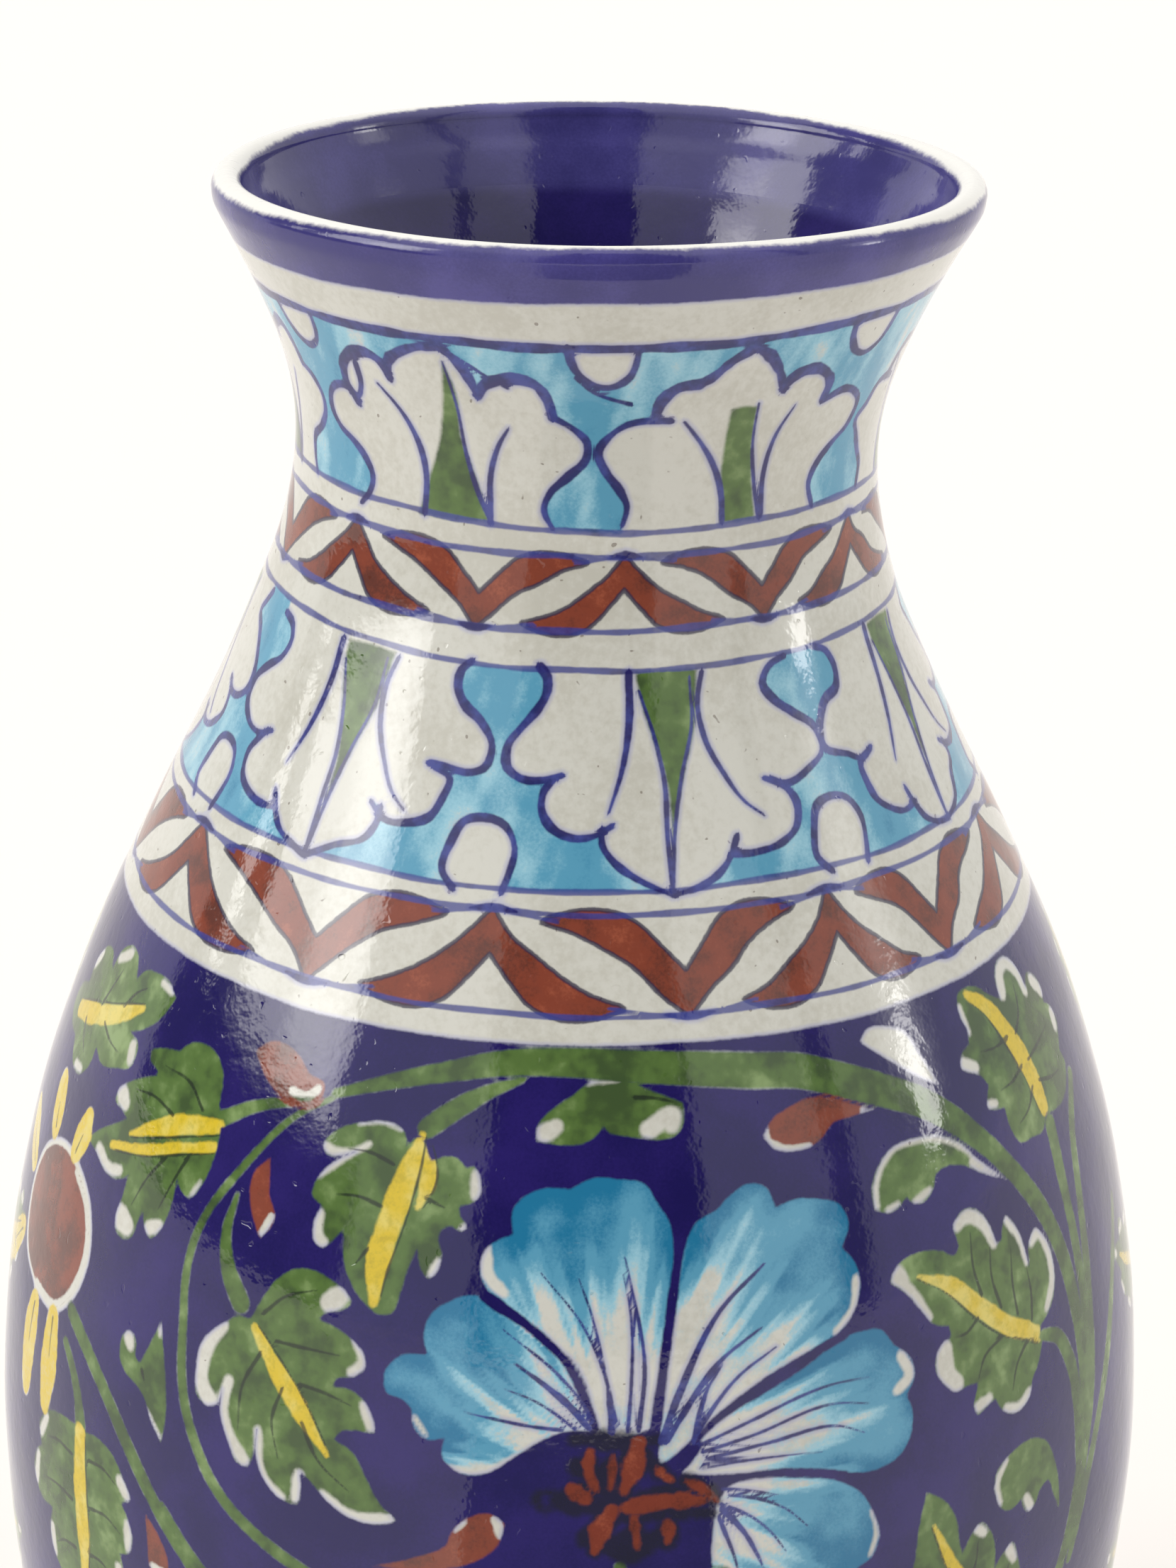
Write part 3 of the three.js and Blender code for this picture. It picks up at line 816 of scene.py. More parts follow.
LEAVES = (
    {   # under the arch, left of the flower
        "runs": (
            ((-17.6, 159.0), (-18.0, 160.3), (-20.0, 161.1), (-23.0, 160.6), (-25.8, 159.3),
             (-27.0, 157.6), (-26.4, 156.8), (-24.6, 157.0), (-23.0, 157.7)),
            ((-23.0, 157.7), (-25.4, 156.2), (-27.0, 154.2), (-27.2, 152.2), (-26.0, 151.6)),
            ((-26.0, 151.6), (-26.6, 149.8), (-26.0, 147.6), (-25.2, 147.3), (-24.2, 148.2),
             (-23.2, 149.6)),
            ((-23.2, 149.6), (-22.9, 147.4), (-22.5, 145.8), (-21.6, 144.2), (-20.2, 142.6),
             (-18.4, 141.5), (-17.2, 141.8), (-16.6, 143.6), (-16.0, 146.6), (-15.3, 148.8)),
            ((-15.3, 148.8), (-14.6, 146.6), (-13.8, 145.8), (-13.0, 146.8), (-12.7, 148.4),
             (-13.2, 150.2), (-13.0, 151.0)),
            ((-13.0, 151.0), (-12.0, 151.5), (-11.0, 150.9), (-10.4, 151.4), (-11.2, 152.6),
             (-11.4, 153.6)),
            ((-11.4, 153.6), (-10.4, 153.8), (-9.3, 154.8), (-9.3, 156.0), (-10.2, 157.6), (-11.0, 157.4)),
            ((-11.0, 157.4), (-12.0, 158.3), (-13.6, 158.3), (-14.8, 157.8), (-15.4, 159.0),
             (-16.4, 160.0), (-17.6, 159.0)),
        ),
        "spared": (
            (((-26.8, 157.6), (-25.6, 157.2), (-24.0, 157.4)), 1.1),
            (((-18.4, 160.6), (-20.6, 161.0), (-23.2, 160.5)), 0.5),
            (((-26.8, 154.6), (-24.6, 156.6), (-21.8, 158.6)), 0.8),
            (((-26.3, 150.6), (-26.0, 148.4), (-25.2, 147.8)), 1.7),
            (((-13.4, 146.4), (-13.0, 147.6)), 1.2), (((-10.8, 151.3), (-10.2, 151.5)), 0.9),
            (((-9.6, 154.8), (-9.8, 156.8)), 1.4),
        ),
        "ribs": (
            (((-16.0, 160.2), (-17.0, 156.5), (-18.4, 151.0), (-19.2, 146.5), (-19.1, 142.6)), 0.8, 3.1,
             1.0),
            (((-15.2, 159.4), (-14.8, 156.2), (-15.6, 153.0)), 0.6, 1.7, 0.8),
        ),
        "hairs": (
            ((-18.8, 157.0), (-21.4, 157.8), (-24.0, 157.8)),
            ((-19.6, 152.6), (-22.0, 153.2), (-24.6, 153.0)),
            ((-20.4, 148.0), (-21.4, 146.4)), ((-14.8, 154.0), (-12.8, 153.2)),
        ),
    },
    {   # left of the flower
        "runs": (
            ((-32.0, 138.0), (-31.0, 140.4), (-29.6, 143.0), (-27.8, 144.5), (-25.6, 144.8),
             (-23.6, 144.2), (-22.0, 143.2), (-21.4, 142.2), (-22.4, 141.2), (-24.0, 140.6),
             (-24.6, 139.8)),
            ((-24.6, 139.8), (-23.0, 139.4), (-21.0, 138.4), (-19.6, 137.0), (-19.3, 135.6),
             (-20.4, 134.4), (-22.2, 133.8), (-22.4, 132.9)),
            ((-22.4, 132.9), (-20.6, 132.9), (-19.2, 132.0), (-18.2, 130.2), (-17.9, 128.6),
             (-19.2, 128.6), (-21.2, 128.2), (-21.8, 127.2)),
            ((-21.8, 127.2), (-20.0, 126.2), (-18.4, 123.4), (-16.8, 120.6), (-15.4, 119.2),
             (-17.2, 118.4), (-19.6, 118.6), (-22.0, 120.0), (-24.0, 122.0), (-25.0, 122.8)),
            ((-25.0, 122.8), (-24.8, 120.6), (-25.0, 119.0), (-26.8, 119.0), (-28.6, 120.6),
             (-29.8, 123.4), (-29.9, 126.2)),
            ((-29.9, 126.2), (-30.1, 123.6), (-30.6, 121.7), (-31.4, 121.6), (-33.0, 124.0),
             (-34.2, 127.0), (-34.2, 129.5)),
            ((-34.2, 129.5), (-34.6, 127.6), (-35.6, 127.0), (-37.0, 127.6), (-37.6, 130.4),
             (-37.4, 133.6), (-36.0, 135.8), (-34.6, 137.0), (-33.6, 137.8), (-32.0, 138.0)),
        ),
        "spared": (
            (((-23.6, 141.8), (-22.6, 142.8)), 2.4),
            (((-20.4, 138.4), (-19.4, 136.2), (-20.6, 134.8)), 1.4),
            (((-19.0, 131.4), (-18.2, 129.2)), 1.4),
            (((-16.0, 119.2), (-19.6, 118.9), (-22.6, 120.7)), 1.3),
            (((-25.1, 122.4), (-25.3, 119.6)), 1.4),
            (((-26.8, 119.2), (-28.8, 121.0), (-29.8, 126.2)), 1.2),
            (((-31.0, 122.2), (-32.8, 124.4), (-34.0, 127.4), (-33.6, 130.6)), 1.6),
            (((-35.4, 127.6), (-36.9, 129.6), (-36.9, 133.0), (-35.2, 136.4)), 2.2),
        ),
        "ribs": ((((-31.4, 137.2), (-29.0, 134.0), (-26.2, 130.4), (-22.4, 125.2)), 1.0, 2.3, 0.5),),
        "hairs": (
            ((-30.6, 139.0), (-28.4, 141.4), (-25.2, 142.8)),
            ((-28.8, 136.4), (-25.4, 136.4), (-22.0, 136.4)),
            ((-25.8, 132.4), (-23.0, 132.0), (-20.4, 131.2)),
            ((-27.6, 131.4), (-28.4, 128.0), (-27.4, 123.6)),
            ((-30.4, 134.6), (-32.0, 130.6), (-32.0, 125.6)),
            ((-25.2, 128.2), (-23.4, 124.6), (-20.0, 121.6)),
        ),
    },
    {   # far left, with a double rib
        "runs": (
            ((-41.2, 158.6), (-41.4, 160.4), (-42.0, 162.0), (-43.6, 163.3), (-46.0, 163.8),
             (-48.4, 163.0), (-49.4, 162.0)),
            ((-49.4, 162.0), (-51.2, 161.7), (-53.0, 161.2), (-54.4, 160.4), (-54.0, 159.6),
             (-52.2, 159.0), (-51.8, 158.6)),
            ((-51.8, 158.6), (-54.0, 157.6), (-56.6, 156.2), (-58.2, 154.8), (-58.2, 153.6),
             (-56.6, 153.2), (-55.0, 152.6)),
            ((-55.0, 152.6), (-57.4, 151.0), (-59.6, 149.6), (-61.0, 148.0), (-58.8, 147.2),
             (-56.6, 146.2), (-54.8, 146.0), (-53.0, 146.6), (-52.0, 147.4)),
            ((-52.0, 147.4), (-52.2, 144.6), (-52.6, 142.6), (-52.0, 141.0), (-50.6, 140.6),
             (-49.2, 141.4), (-48.8, 143.4), (-48.4, 144.6)),
            ((-48.4, 144.6), (-47.4, 142.8), (-46.6, 142.2), (-45.4, 143.4), (-44.6, 145.6),
             (-44.4, 147.6), (-44.6, 149.6)),
            ((-44.6, 149.6), (-43.6, 148.6), (-42.2, 148.2), (-41.0, 149.8), (-40.2, 152.6),
             (-40.1, 155.0), (-40.4, 157.0), (-41.2, 158.6)),
        ),
        "spared": (
            (((-57.6, 155.0), (-56.2, 154.0)), 2.2),
            (((-58.6, 147.8), (-55.4, 146.7), (-53.8, 147.2)), 1.5),
            (((-52.0, 142.8), (-50.4, 142.2)), 2.9), (((-47.0, 143.2), (-45.6, 144.0)), 1.6),
            (((-42.0, 148.6), (-41.2, 150.2)), 0.6),
        ),
        "ribs": (
            (((-40.4, 156.4), (-45.0, 155.3), (-49.6, 153.5), (-53.6, 151.4)), 1.6, 2.3, 0.5),
            (((-40.5, 154.2), (-45.0, 152.8), (-50.0, 150.9), (-56.4, 149.2)), 1.2, 1.3, 0.9),
        ),
        "hairs": (
            ((-43.4, 157.4), (-46.0, 159.4), (-51.0, 159.9)),
            ((-47.6, 155.6), (-51.0, 156.4), (-55.0, 156.0)),
            ((-47.0, 151.0), (-48.8, 148.4), (-50.4, 144.6)),
            ((-43.6, 152.4), (-44.8, 149.6), (-46.2, 145.6)),
        ),
    },
    {   # right of the flower
        "runs": (
            ((33.0, 141.6), (33.6, 142.7), (35.0, 143.5), (37.6, 143.7), (40.0, 143.0), (41.6, 142.0),
             (42.3, 142.6)),
            ((42.3, 142.6), (42.2, 143.8), (41.9, 144.8), (43.0, 146.0), (44.8, 146.2), (46.4, 145.0),
             (47.4, 143.0), (48.0, 141.0), (48.6, 141.2)),
            ((48.6, 141.2), (49.2, 142.6), (49.8, 143.5), (50.8, 142.6), (51.8, 140.4), (52.2, 137.8),
             (52.3, 136.6)),
            ((52.3, 136.6), (53.0, 139.4), (54.4, 140.3), (55.8, 138.8), (56.7, 136.0), (56.5, 133.0),
             (55.2, 130.8), (53.6, 129.8), (52.8, 129.4)),
            ((52.8, 129.4), (52.6, 127.0), (51.6, 125.2), (50.5, 124.0), (50.2, 122.8), (48.6, 121.5),
             (46.8, 121.7), (45.4, 123.0), (44.8, 124.4)),
            ((44.8, 124.4), (43.4, 123.9), (42.2, 123.5), (41.8, 124.8), (42.3, 126.2), (42.6, 127.1)),
            ((42.6, 127.1), (40.8, 127.3), (39.8, 127.1), (38.6, 128.1), (37.5, 130.0), (37.5, 131.8),
             (38.7, 133.3), (39.6, 133.4), (39.5, 134.8)),
            ((39.5, 134.8), (37.8, 135.5), (36.4, 137.4), (34.8, 139.8), (33.0, 141.6)),
        ),
        "spared": (
            (((33.7, 141.8), (35.2, 140.2), (37.2, 136.6)), 1.3),
            (((34.0, 142.4), (34.6, 141.4)), 1.8),
            (((42.5, 145.0), (44.4, 145.4), (46.2, 144.0), (47.3, 141.4)), 1.6),
            (((49.9, 143.0), (51.3, 140.6), (52.0, 137.4)), 1.1),
            (((53.4, 139.2), (54.6, 139.7), (56.0, 137.0), (56.0, 133.4), (54.4, 130.9)), 1.3),
            (((49.9, 122.8), (48.2, 121.9), (46.2, 122.6)), 1.3),
            (((42.3, 124.4), (43.9, 124.7)), 1.4),
            (((38.6, 132.4), (38.7, 129.6), (39.8, 128.0)), 2.5),
        ),
        "ribs": (
            (((52.2, 129.1), (48.0, 131.5), (43.6, 135.7), (40.2, 139.2), (36.4, 141.3)), 1.4, 2.5, 0.4),
            (((52.4, 127.9), (50.4, 129.2), (48.6, 130.2)), 0.5, 0.6, 0.3),
        ),
        "hairs": (
            ((44.4, 136.6), (43.8, 140.0), (44.2, 143.6)), ((47.0, 134.2), (46.2, 138.0), (46.6, 141.0)),
            ((49.4, 132.4), (49.2, 136.0), (49.8, 140.0)), ((51.6, 130.8), (52.0, 134.0), (51.8, 137.0)),
            ((43.4, 134.2), (41.8, 133.2), (40.2, 133.2)), ((46.4, 130.8), (43.8, 129.6), (42.8, 127.6)),
            ((50.4, 128.8), (48.4, 126.8), (47.4, 124.2)),
        ),
    },
    {   # upper right
        "runs": (
            ((51.0, 166.2), (51.8, 167.3), (53.4, 167.5), (55.8, 167.0), (58.0, 165.4), (59.8, 164.4)),
            ((59.8, 164.4), (60.2, 166.4), (61.6, 167.7), (63.6, 168.0), (65.6, 167.0), (66.8, 164.8),
             (66.8, 163.4)),
            ((66.8, 163.4), (68.4, 164.5), (70.4, 163.6), (71.2, 161.8), (70.2, 160.4)),
            ((70.2, 160.4), (71.8, 159.4), (72.4, 157.6), (71.0, 155.8), (70.2, 154.8)),
            ((70.2, 154.8), (70.8, 153.4), (69.4, 151.2), (66.8, 150.0), (64.0, 150.1), (62.0, 150.6)),
            ((62.0, 150.6), (60.6, 149.3), (57.6, 149.4), (55.2, 149.9), (54.2, 151.6), (54.0, 154.3)),
            ((54.0, 154.3), (52.2, 154.5), (51.0, 155.2), (51.6, 156.4), (52.3, 157.3)),
            ((52.3, 157.3), (51.0, 158.8), (49.6, 159.4), (48.4, 160.4), (49.0, 161.5), (50.9, 162.1)),
            ((50.9, 162.1), (51.4, 163.4), (51.0, 164.8), (51.0, 166.2)),
        ),
        "spared": (
            (((51.3, 166.0), (51.6, 163.2)), 0.9), (((48.9, 160.6), (50.8, 159.6)), 1.6),
            (((51.3, 155.4), (52.6, 155.1)), 1.2),
            (((60.6, 164.8), (61.8, 166.8), (64.0, 167.2), (65.9, 165.6), (66.3, 163.2)), 1.7),
            (((69.2, 163.4), (70.6, 161.6)), 1.8), (((71.6, 158.6), (71.2, 157.2)), 1.6),
        ),
        "ribs": (
            (((61.9, 151.3), (60.9, 156.0), (58.6, 161.2), (56.4, 164.6), (53.4, 166.8)), 2.2, 2.8, 1.0),
        ),
        "hairs": (
            ((59.6, 157.0), (57.2, 156.2), (54.2, 156.0)), ((58.4, 160.6), (55.6, 160.4), (52.6, 160.8)),
            ((60.6, 154.2), (58.6, 152.4), (56.2, 151.6)), ((61.4, 157.0), (64.6, 157.6), (68.6, 158.4)),
            ((60.6, 160.4), (62.8, 162.0), (64.0, 164.6)), ((62.6, 154.2), (65.6, 153.4), (68.4, 153.2)),
        ),
    },
    {   # low on the left
        "runs": (
            ((-52.4, 116.6), (-50.4, 116.9), (-48.0, 116.2), (-46.0, 114.0), (-44.8, 111.8),
             (-46.2, 111.0)),
            ((-46.2, 111.0), (-45.0, 109.2), (-44.3, 107.2), (-44.8, 105.2), (-46.2, 104.4)),
            ((-46.2, 104.4), (-45.6, 102.4), (-45.8, 99.8), (-47.4, 98.2), (-48.8, 98.0)),
            ((-48.8, 98.0), (-48.8, 95.0), (-50.4, 91.6), (-52.4, 89.6), (-53.6, 92.4), (-54.4, 96.4)),
            ((-54.4, 96.4), (-57.0, 96.0), (-59.0, 98.2), (-59.2, 101.6), (-58.6, 103.4)),
            ((-58.6, 103.4), (-61.4, 103.4), (-63.2, 105.8), (-62.8, 108.6), (-61.4, 110.0)),
            ((-61.4, 110.0), (-62.2, 112.4), (-60.6, 114.8), (-57.6, 116.2), (-54.4, 116.5),
             (-52.4, 116.6)),
        ),
        "spared": (
            (((-46.4, 113.4), (-45.2, 112.0)), 1.5), (((-45.0, 108.6), (-44.9, 105.8)), 1.4),
            (((-46.4, 102.6), (-46.4, 99.8)), 1.2), (((-51.6, 91.4), (-52.4, 90.4)), 1.6),
            (((-58.6, 97.8), (-58.8, 101.0)), 1.4), (((-62.6, 105.0), (-62.2, 108.4)), 1.4),
            (((-61.6, 111.6), (-60.4, 114.2)), 1.3),
        ),
        "ribs": ((((-53.4, 116.0), (-53.0, 110.0), (-52.2, 103.0), (-52.4, 95.0)), 2.2, 2.7, 0.6),),
        "hairs": (
            ((-51.6, 113.4), (-49.0, 113.6), (-47.0, 112.6)),
            ((-51.2, 107.6), (-48.4, 108.0), (-46.2, 107.0)),
            ((-51.4, 101.6), (-49.0, 101.6), (-47.4, 100.6)),
            ((-54.8, 112.6), (-57.6, 112.8), (-60.0, 112.0)),
            ((-54.4, 107.0), (-57.6, 107.2), (-60.8, 106.4)),
            ((-53.8, 101.0), (-56.2, 100.6), (-57.8, 99.4)),
        ),
    },
    {   # low on the right
        "runs": (
            ((35.4, 117.0), (37.6, 115.1), (39.0, 112.2), (39.4, 109.0), (39.8, 107.6)),
            ((39.8, 107.6), (41.0, 109.6), (42.0, 110.5), (43.6, 108.6), (44.2, 106.0), (44.1, 103.6)),
            ((44.1, 103.6), (45.4, 105.2), (46.6, 105.9), (47.6, 103.4), (48.2, 100.0), (47.8, 96.8)),
            ((47.8, 96.8), (49.2, 98.2), (50.8, 98.8), (51.4, 95.6), (50.0, 92.4), (46.8, 91.4),
             (44.6, 92.2)),
            ((44.6, 92.2), (41.6, 91.6), (38.8, 92.2), (37.6, 93.8), (38.2, 95.4)),
            ((38.2, 95.4), (36.2, 96.4), (35.0, 98.8), (35.8, 100.8)),
            ((35.8, 100.8), (34.0, 102.2), (33.2, 105.6), (34.0, 109.4), (34.5, 113.4), (35.4, 117.0)),
        ),
        "spared": (
            (((41.7, 109.9), (42.6, 109.0)), 1.3), (((46.2, 105.2), (47.0, 103.6)), 1.4),
            (((50.2, 98.0), (50.8, 95.8)), 1.3), (((38.4, 93.2), (38.8, 94.4)), 1.2),
            (((35.6, 98.0), (35.8, 99.8)), 1.0),
        ),
        "ribs": ((((44.6, 93.4), (41.6, 100.0), (38.6, 106.6), (36.2, 112.6)), 1.5, 1.9, 0.5),),
        "hairs": (
            ((40.6, 103.4), (41.6, 106.0), (41.8, 108.2)), ((43.0, 98.6), (45.4, 100.6), (46.2, 103.2)),
            ((40.4, 101.4), (38.2, 100.6), (36.6, 99.6)), ((38.0, 106.4), (36.4, 105.8), (35.0, 105.6)),
        ),
    },
    {   # far upper left, foreshortened at the limb
        "runs": (
            ((-53.2, 166.6), (-55.0, 167.6), (-58.6, 167.8), (-61.6, 167.0), (-62.6, 165.8)),
            ((-62.6, 165.8), (-64.4, 167.8), (-67.6, 168.0), (-69.8, 166.2), (-70.0, 164.4)),
            ((-70.0, 164.4), (-72.4, 165.8), (-75.4, 165.0), (-77.0, 162.4), (-76.4, 160.4)),
            ((-76.4, 160.4), (-79.0, 159.4), (-80.2, 156.8), (-77.6, 155.0), (-74.4, 154.8)),
            ((-74.4, 154.8), (-72.0, 152.6), (-68.6, 152.4), (-66.6, 154.4), (-66.4, 156.6)),
            ((-66.4, 156.6), (-63.8, 155.6), (-60.4, 156.4), (-57.0, 158.2), (-57.2, 160.2),
             (-59.6, 160.8)),
            ((-59.6, 160.8), (-56.8, 162.2), (-54.6, 164.0), (-53.2, 166.6)),
        ),
        "spared": (
            (((-54.2, 167.0), (-56.6, 167.3)), 1.0), (((-66.4, 167.4), (-69.0, 166.0)), 1.4),
            (((-57.8, 158.4), (-58.2, 159.8)), 1.6), (((-75.6, 164.2), (-76.6, 162.6)), 1.4),
            (((-70.6, 152.9), (-68.6, 153.0)), 1.2),
        ),
        "ribs": ((((-76.0, 157.4), (-71.0, 158.8), (-65.6, 160.6), (-58.6, 163.8)), 2.0, 2.6, 0.8),),
        "hairs": (
            ((-63.0, 162.6), (-61.4, 164.6), (-59.4, 165.8)),
            ((-69.0, 160.6), (-67.8, 163.2), (-66.8, 165.4)),
            ((-66.4, 159.4), (-63.6, 158.4), (-60.6, 158.0)),
            ((-72.4, 157.6), (-71.0, 155.8), (-69.4, 154.6)),
        ),
    },
)

SMALL_LEAVES = (
    {   # under the crown of the arch
        "runs": (
            ((-3.8, 160.4), (-3.8, 161.8), (-2.8, 163.2), (-1.6, 164.0), (0.0, 165.0), (2.0, 166.3),
             (5.0, 166.5), (8.0, 165.4), (12.0, 163.8)),
            ((12.0, 163.8), (12.0, 162.2), (11.4, 160.9), (9.6, 160.3), (7.2, 160.6), (5.4, 160.9),
             (3.9, 161.2), (3.3, 161.9)),
            ((3.3, 161.9), (2.6, 161.1), (1.6, 160.4), (-1.2, 160.1), (-3.8, 160.4)),
        ),
        "spared": (
            (((-3.0, 161.2), (-1.8, 161.9)), 2.0),
            (((8.2, 161.4), (10.8, 162.6), (10.6, 161.6)), 1.9),
            (((1.6, 166.1), (5.0, 166.4)), 0.5),
        ),
        "hairs": (((6.8, 164.6), (9.0, 164.4), (11.4, 163.8)),),
    },
    {   # the comma inside the arch
        "runs": (
            ((32.4, 149.6), (32.4, 151.6), (33.6, 153.8), (35.8, 155.3), (39.0, 155.5), (42.0, 155.0),
             (44.6, 153.8), (47.4, 150.8), (51.4, 147.0)),
            ((51.4, 147.0), (47.8, 149.0), (45.0, 150.8), (42.0, 151.4), (41.0, 151.1)),
            ((41.0, 151.1), (40.2, 149.6), (38.6, 148.7), (37.4, 148.9), (36.6, 149.9)),
            ((36.6, 149.9), (35.4, 149.0), (34.0, 148.8), (32.4, 149.6)),
        ),
        "spared": (
            (((32.7, 149.8), (32.9, 151.6), (34.2, 153.9), (36.0, 155.1), (39.0, 155.2), (42.0, 154.7),
              (44.8, 153.1), (50.8, 147.4)),
             0.8),
            (((46.8, 150.6), (51.2, 147.2)), 1.5), (((34.0, 149.1), (35.4, 149.4)), 0.8),
            (((37.6, 149.0), (39.8, 149.7)), 0.9),
        ),
        "hairs": (),
    },
    {   # the lower comma
        "runs": (
            ((44.0, 113.6), (44.4, 115.6), (46.6, 117.0), (49.6, 117.3), (52.0, 116.0), (53.6, 113.0),
             (54.4, 109.4), (54.6, 105.6)),
            ((54.6, 105.6), (53.4, 108.6), (52.4, 110.8), (50.9, 110.2)),
            ((50.9, 110.2), (50.2, 108.8), (49.2, 108.4), (48.2, 109.6), (48.0, 110.6)),
            ((48.0, 110.6), (46.4, 110.0), (44.8, 111.2), (44.0, 113.6)),
        ),
        "spared": (
            (((44.8, 111.6), (44.4, 114.2), (45.8, 116.4)), 0.9),
            (((49.4, 109.0), (48.8, 110.4)), 1.4),
        ),
        "hairs": (),
    },
    {   # the small fork at the left
        "runs": (
            ((-48.2, 130.2), (-47.4, 131.3), (-46.4, 131.2), (-45.8, 130.2), (-45.8, 129.0),
             (-45.0, 128.4)),
            ((-45.0, 128.4), (-44.2, 130.4), (-43.4, 132.6), (-42.9, 134.2)),
            ((-42.9, 134.2), (-42.2, 131.6), (-41.1, 127.4), (-40.7, 124.0), (-41.0, 120.6)),
            ((-41.0, 120.6), (-42.6, 122.6), (-43.8, 124.8), (-45.0, 125.8), (-46.6, 126.4),
             (-48.0, 127.8), (-48.2, 130.2)),
        ),
        "spared": (
            (((-47.1, 130.6), (-46.7, 129.8)), 1.7), (((-42.9, 133.6), (-42.7, 132.6)), 0.7),
            (((-43.4, 123.6), (-41.3, 121.2)), 0.8),
        ),
        "hairs": (((-44.6, 127.8), (-44.0, 126.6)),),
    },
)

BUDS = (
    ((((20.6, 159.4), (21.6, 160.8), (23.8, 161.8), (26.8, 162.4), (29.4, 161.9), (31.6, 160.9),
       (34.6, 159.6)),
      ((34.6, 159.6), (31.6, 159.6), (29.0, 159.4), (27.0, 157.9), (24.2, 157.4), (21.8, 158.0),
       (20.6, 159.4))),
     ((((20.9, 160.2), (21.0, 159.0), (22.6, 157.9), (25.8, 157.6)), 1.0),
      (((33.0, 159.8), (34.4, 159.6)), 0.8))),
    ((((-38.2, 165.0), (-36.6, 166.3), (-34.6, 166.6), (-32.4, 165.9), (-30.4, 164.3)),
      ((-30.4, 164.3), (-28.2, 163.6), (-28.4, 161.8), (-31.0, 160.8), (-34.4, 161.8), (-36.8, 163.6),
       (-38.2, 165.0))),
     ((((-32.0, 162.2), (-30.0, 162.0), (-28.9, 163.0)), 1.1),)),
    ((((-33.0, 155.1), (-34.7, 152.8), (-34.4, 150.2), (-33.2, 147.8), (-32.4, 146.6)),
      ((-32.4, 146.6), (-31.4, 148.0), (-31.1, 149.4), (-32.2, 151.2), (-32.6, 153.4), (-33.0, 155.1))),
     ((((-32.2, 147.2), (-31.5, 149.2)), 1.0),)),
    ((((-17.6, 113.4), (-13.0, 115.5), (-10.7, 117.0), (-10.2, 118.6), (-8.8, 120.4), (-6.8, 121.1),
       (-5.4, 120.0)),
      ((-5.4, 120.0), (-6.0, 117.4), (-8.0, 115.4), (-11.0, 114.2), (-17.6, 113.4))),
     ((((-6.2, 120.4), (-5.7, 118.6)), 1.1), (((-9.9, 118.8), (-9.0, 120.0)), 0.6))),
    ((((-42.6, 111.2), (-42.2, 108.0), (-41.6, 104.6), (-39.6, 104.6), (-39.4, 106.6), (-40.8, 109.4),
       (-42.6, 111.2)),),
     ((((-41.4, 105.2), (-40.0, 105.2)), 1.0),)),
)

STEMS = (
    (((-26.6, 163.0), (-20.0, 165.2), (-14.0, 166.7), (-8.0, 167.9), (0.0, 168.1), (8.0, 167.5),
      (14.0, 166.9), (20.0, 166.1), (26.0, 165.2), (31.0, 163.4), (36.0, 161.3), (41.0, 158.8),
      (46.0, 155.0), (50.0, 151.0)),
     0.9, 3.6, 2.7),
    (((50.0, 151.0), (53.5, 146.5), (56.5, 141.5), (58.6, 136.0), (59.8, 130.0), (60.4, 123.0),
      (60.2, 116.0), (58.5, 108.0), (56.0, 100.0), (51.0, 90.0)),
     2.7, 2.4, 1.6),
    (((-27.0, 162.4), (-31.0, 159.8), (-33.4, 157.2), (-35.4, 154.4), (-37.2, 151.6), (-39.2, 148.0),
      (-40.4, 144.0), (-40.6, 140.0), (-40.0, 135.0), (-39.4, 130.0), (-38.4, 126.0), (-36.6, 122.0),
      (-34.4, 118.4), (-31.6, 115.6), (-28.4, 113.4), (-23.0, 110.6), (-16.0, 107.6)),
     0.5, 1.2, 1.4),
    (((-28.6, 161.6), (-33.0, 160.8), (-36.4, 159.6), (-40.2, 157.4)), 0.8, 1.1, 1.8),
    (((-5.5, 166.4), (-9.4, 165.0), (-12.6, 163.2), (-15.6, 161.0)), 0.4, 1.8, 2.2),
    (((-36.1, 150.4), (-36.5, 146.0), (-35.4, 142.4), (-33.4, 139.4)), 0.4, 1.7, 2.4),
    (((53.2, 128.2), (55.6, 127.0), (57.4, 123.6), (58.4, 118.0), (58.4, 110.0)), 1.2, 2.2, 1.2),
    (((62.3, 149.0), (61.9, 143.0), (62.0, 135.0), (62.0, 124.0), (60.4, 112.0), (57.0, 100.0)), 2.4,
     1.7, 1.4),
    (((71.4, 151.4), (67.4, 146.4), (65.0, 139.0), (63.6, 129.0), (61.8, 117.0), (58.6, 105.0)), 1.6,
     1.8, 1.2),
    (((76.0, 134.0), (70.0, 125.0), (65.0, 116.0), (60.6, 107.0), (57.0, 98.0)), 1.4, 1.8, 1.2),
    (((-57.2, 129.0), (-54.6, 127.2), (-51.4, 124.6), (-48.4, 121.6), (-45.4, 118.0), (-42.2, 114.0),
      (-39.4, 110.6), (-34.0, 104.6)),
     2.0, 1.9, 1.5),
    (((-40.4, 113.4), (-37.0, 109.4), (-33.0, 105.6)), 0.5, 0.9, 0.9),
    (((-57.6, 125.2), (-55.6, 122.8), (-54.2, 120.0), (-53.4, 117.0)), 1.2, 1.6, 2.2),
)


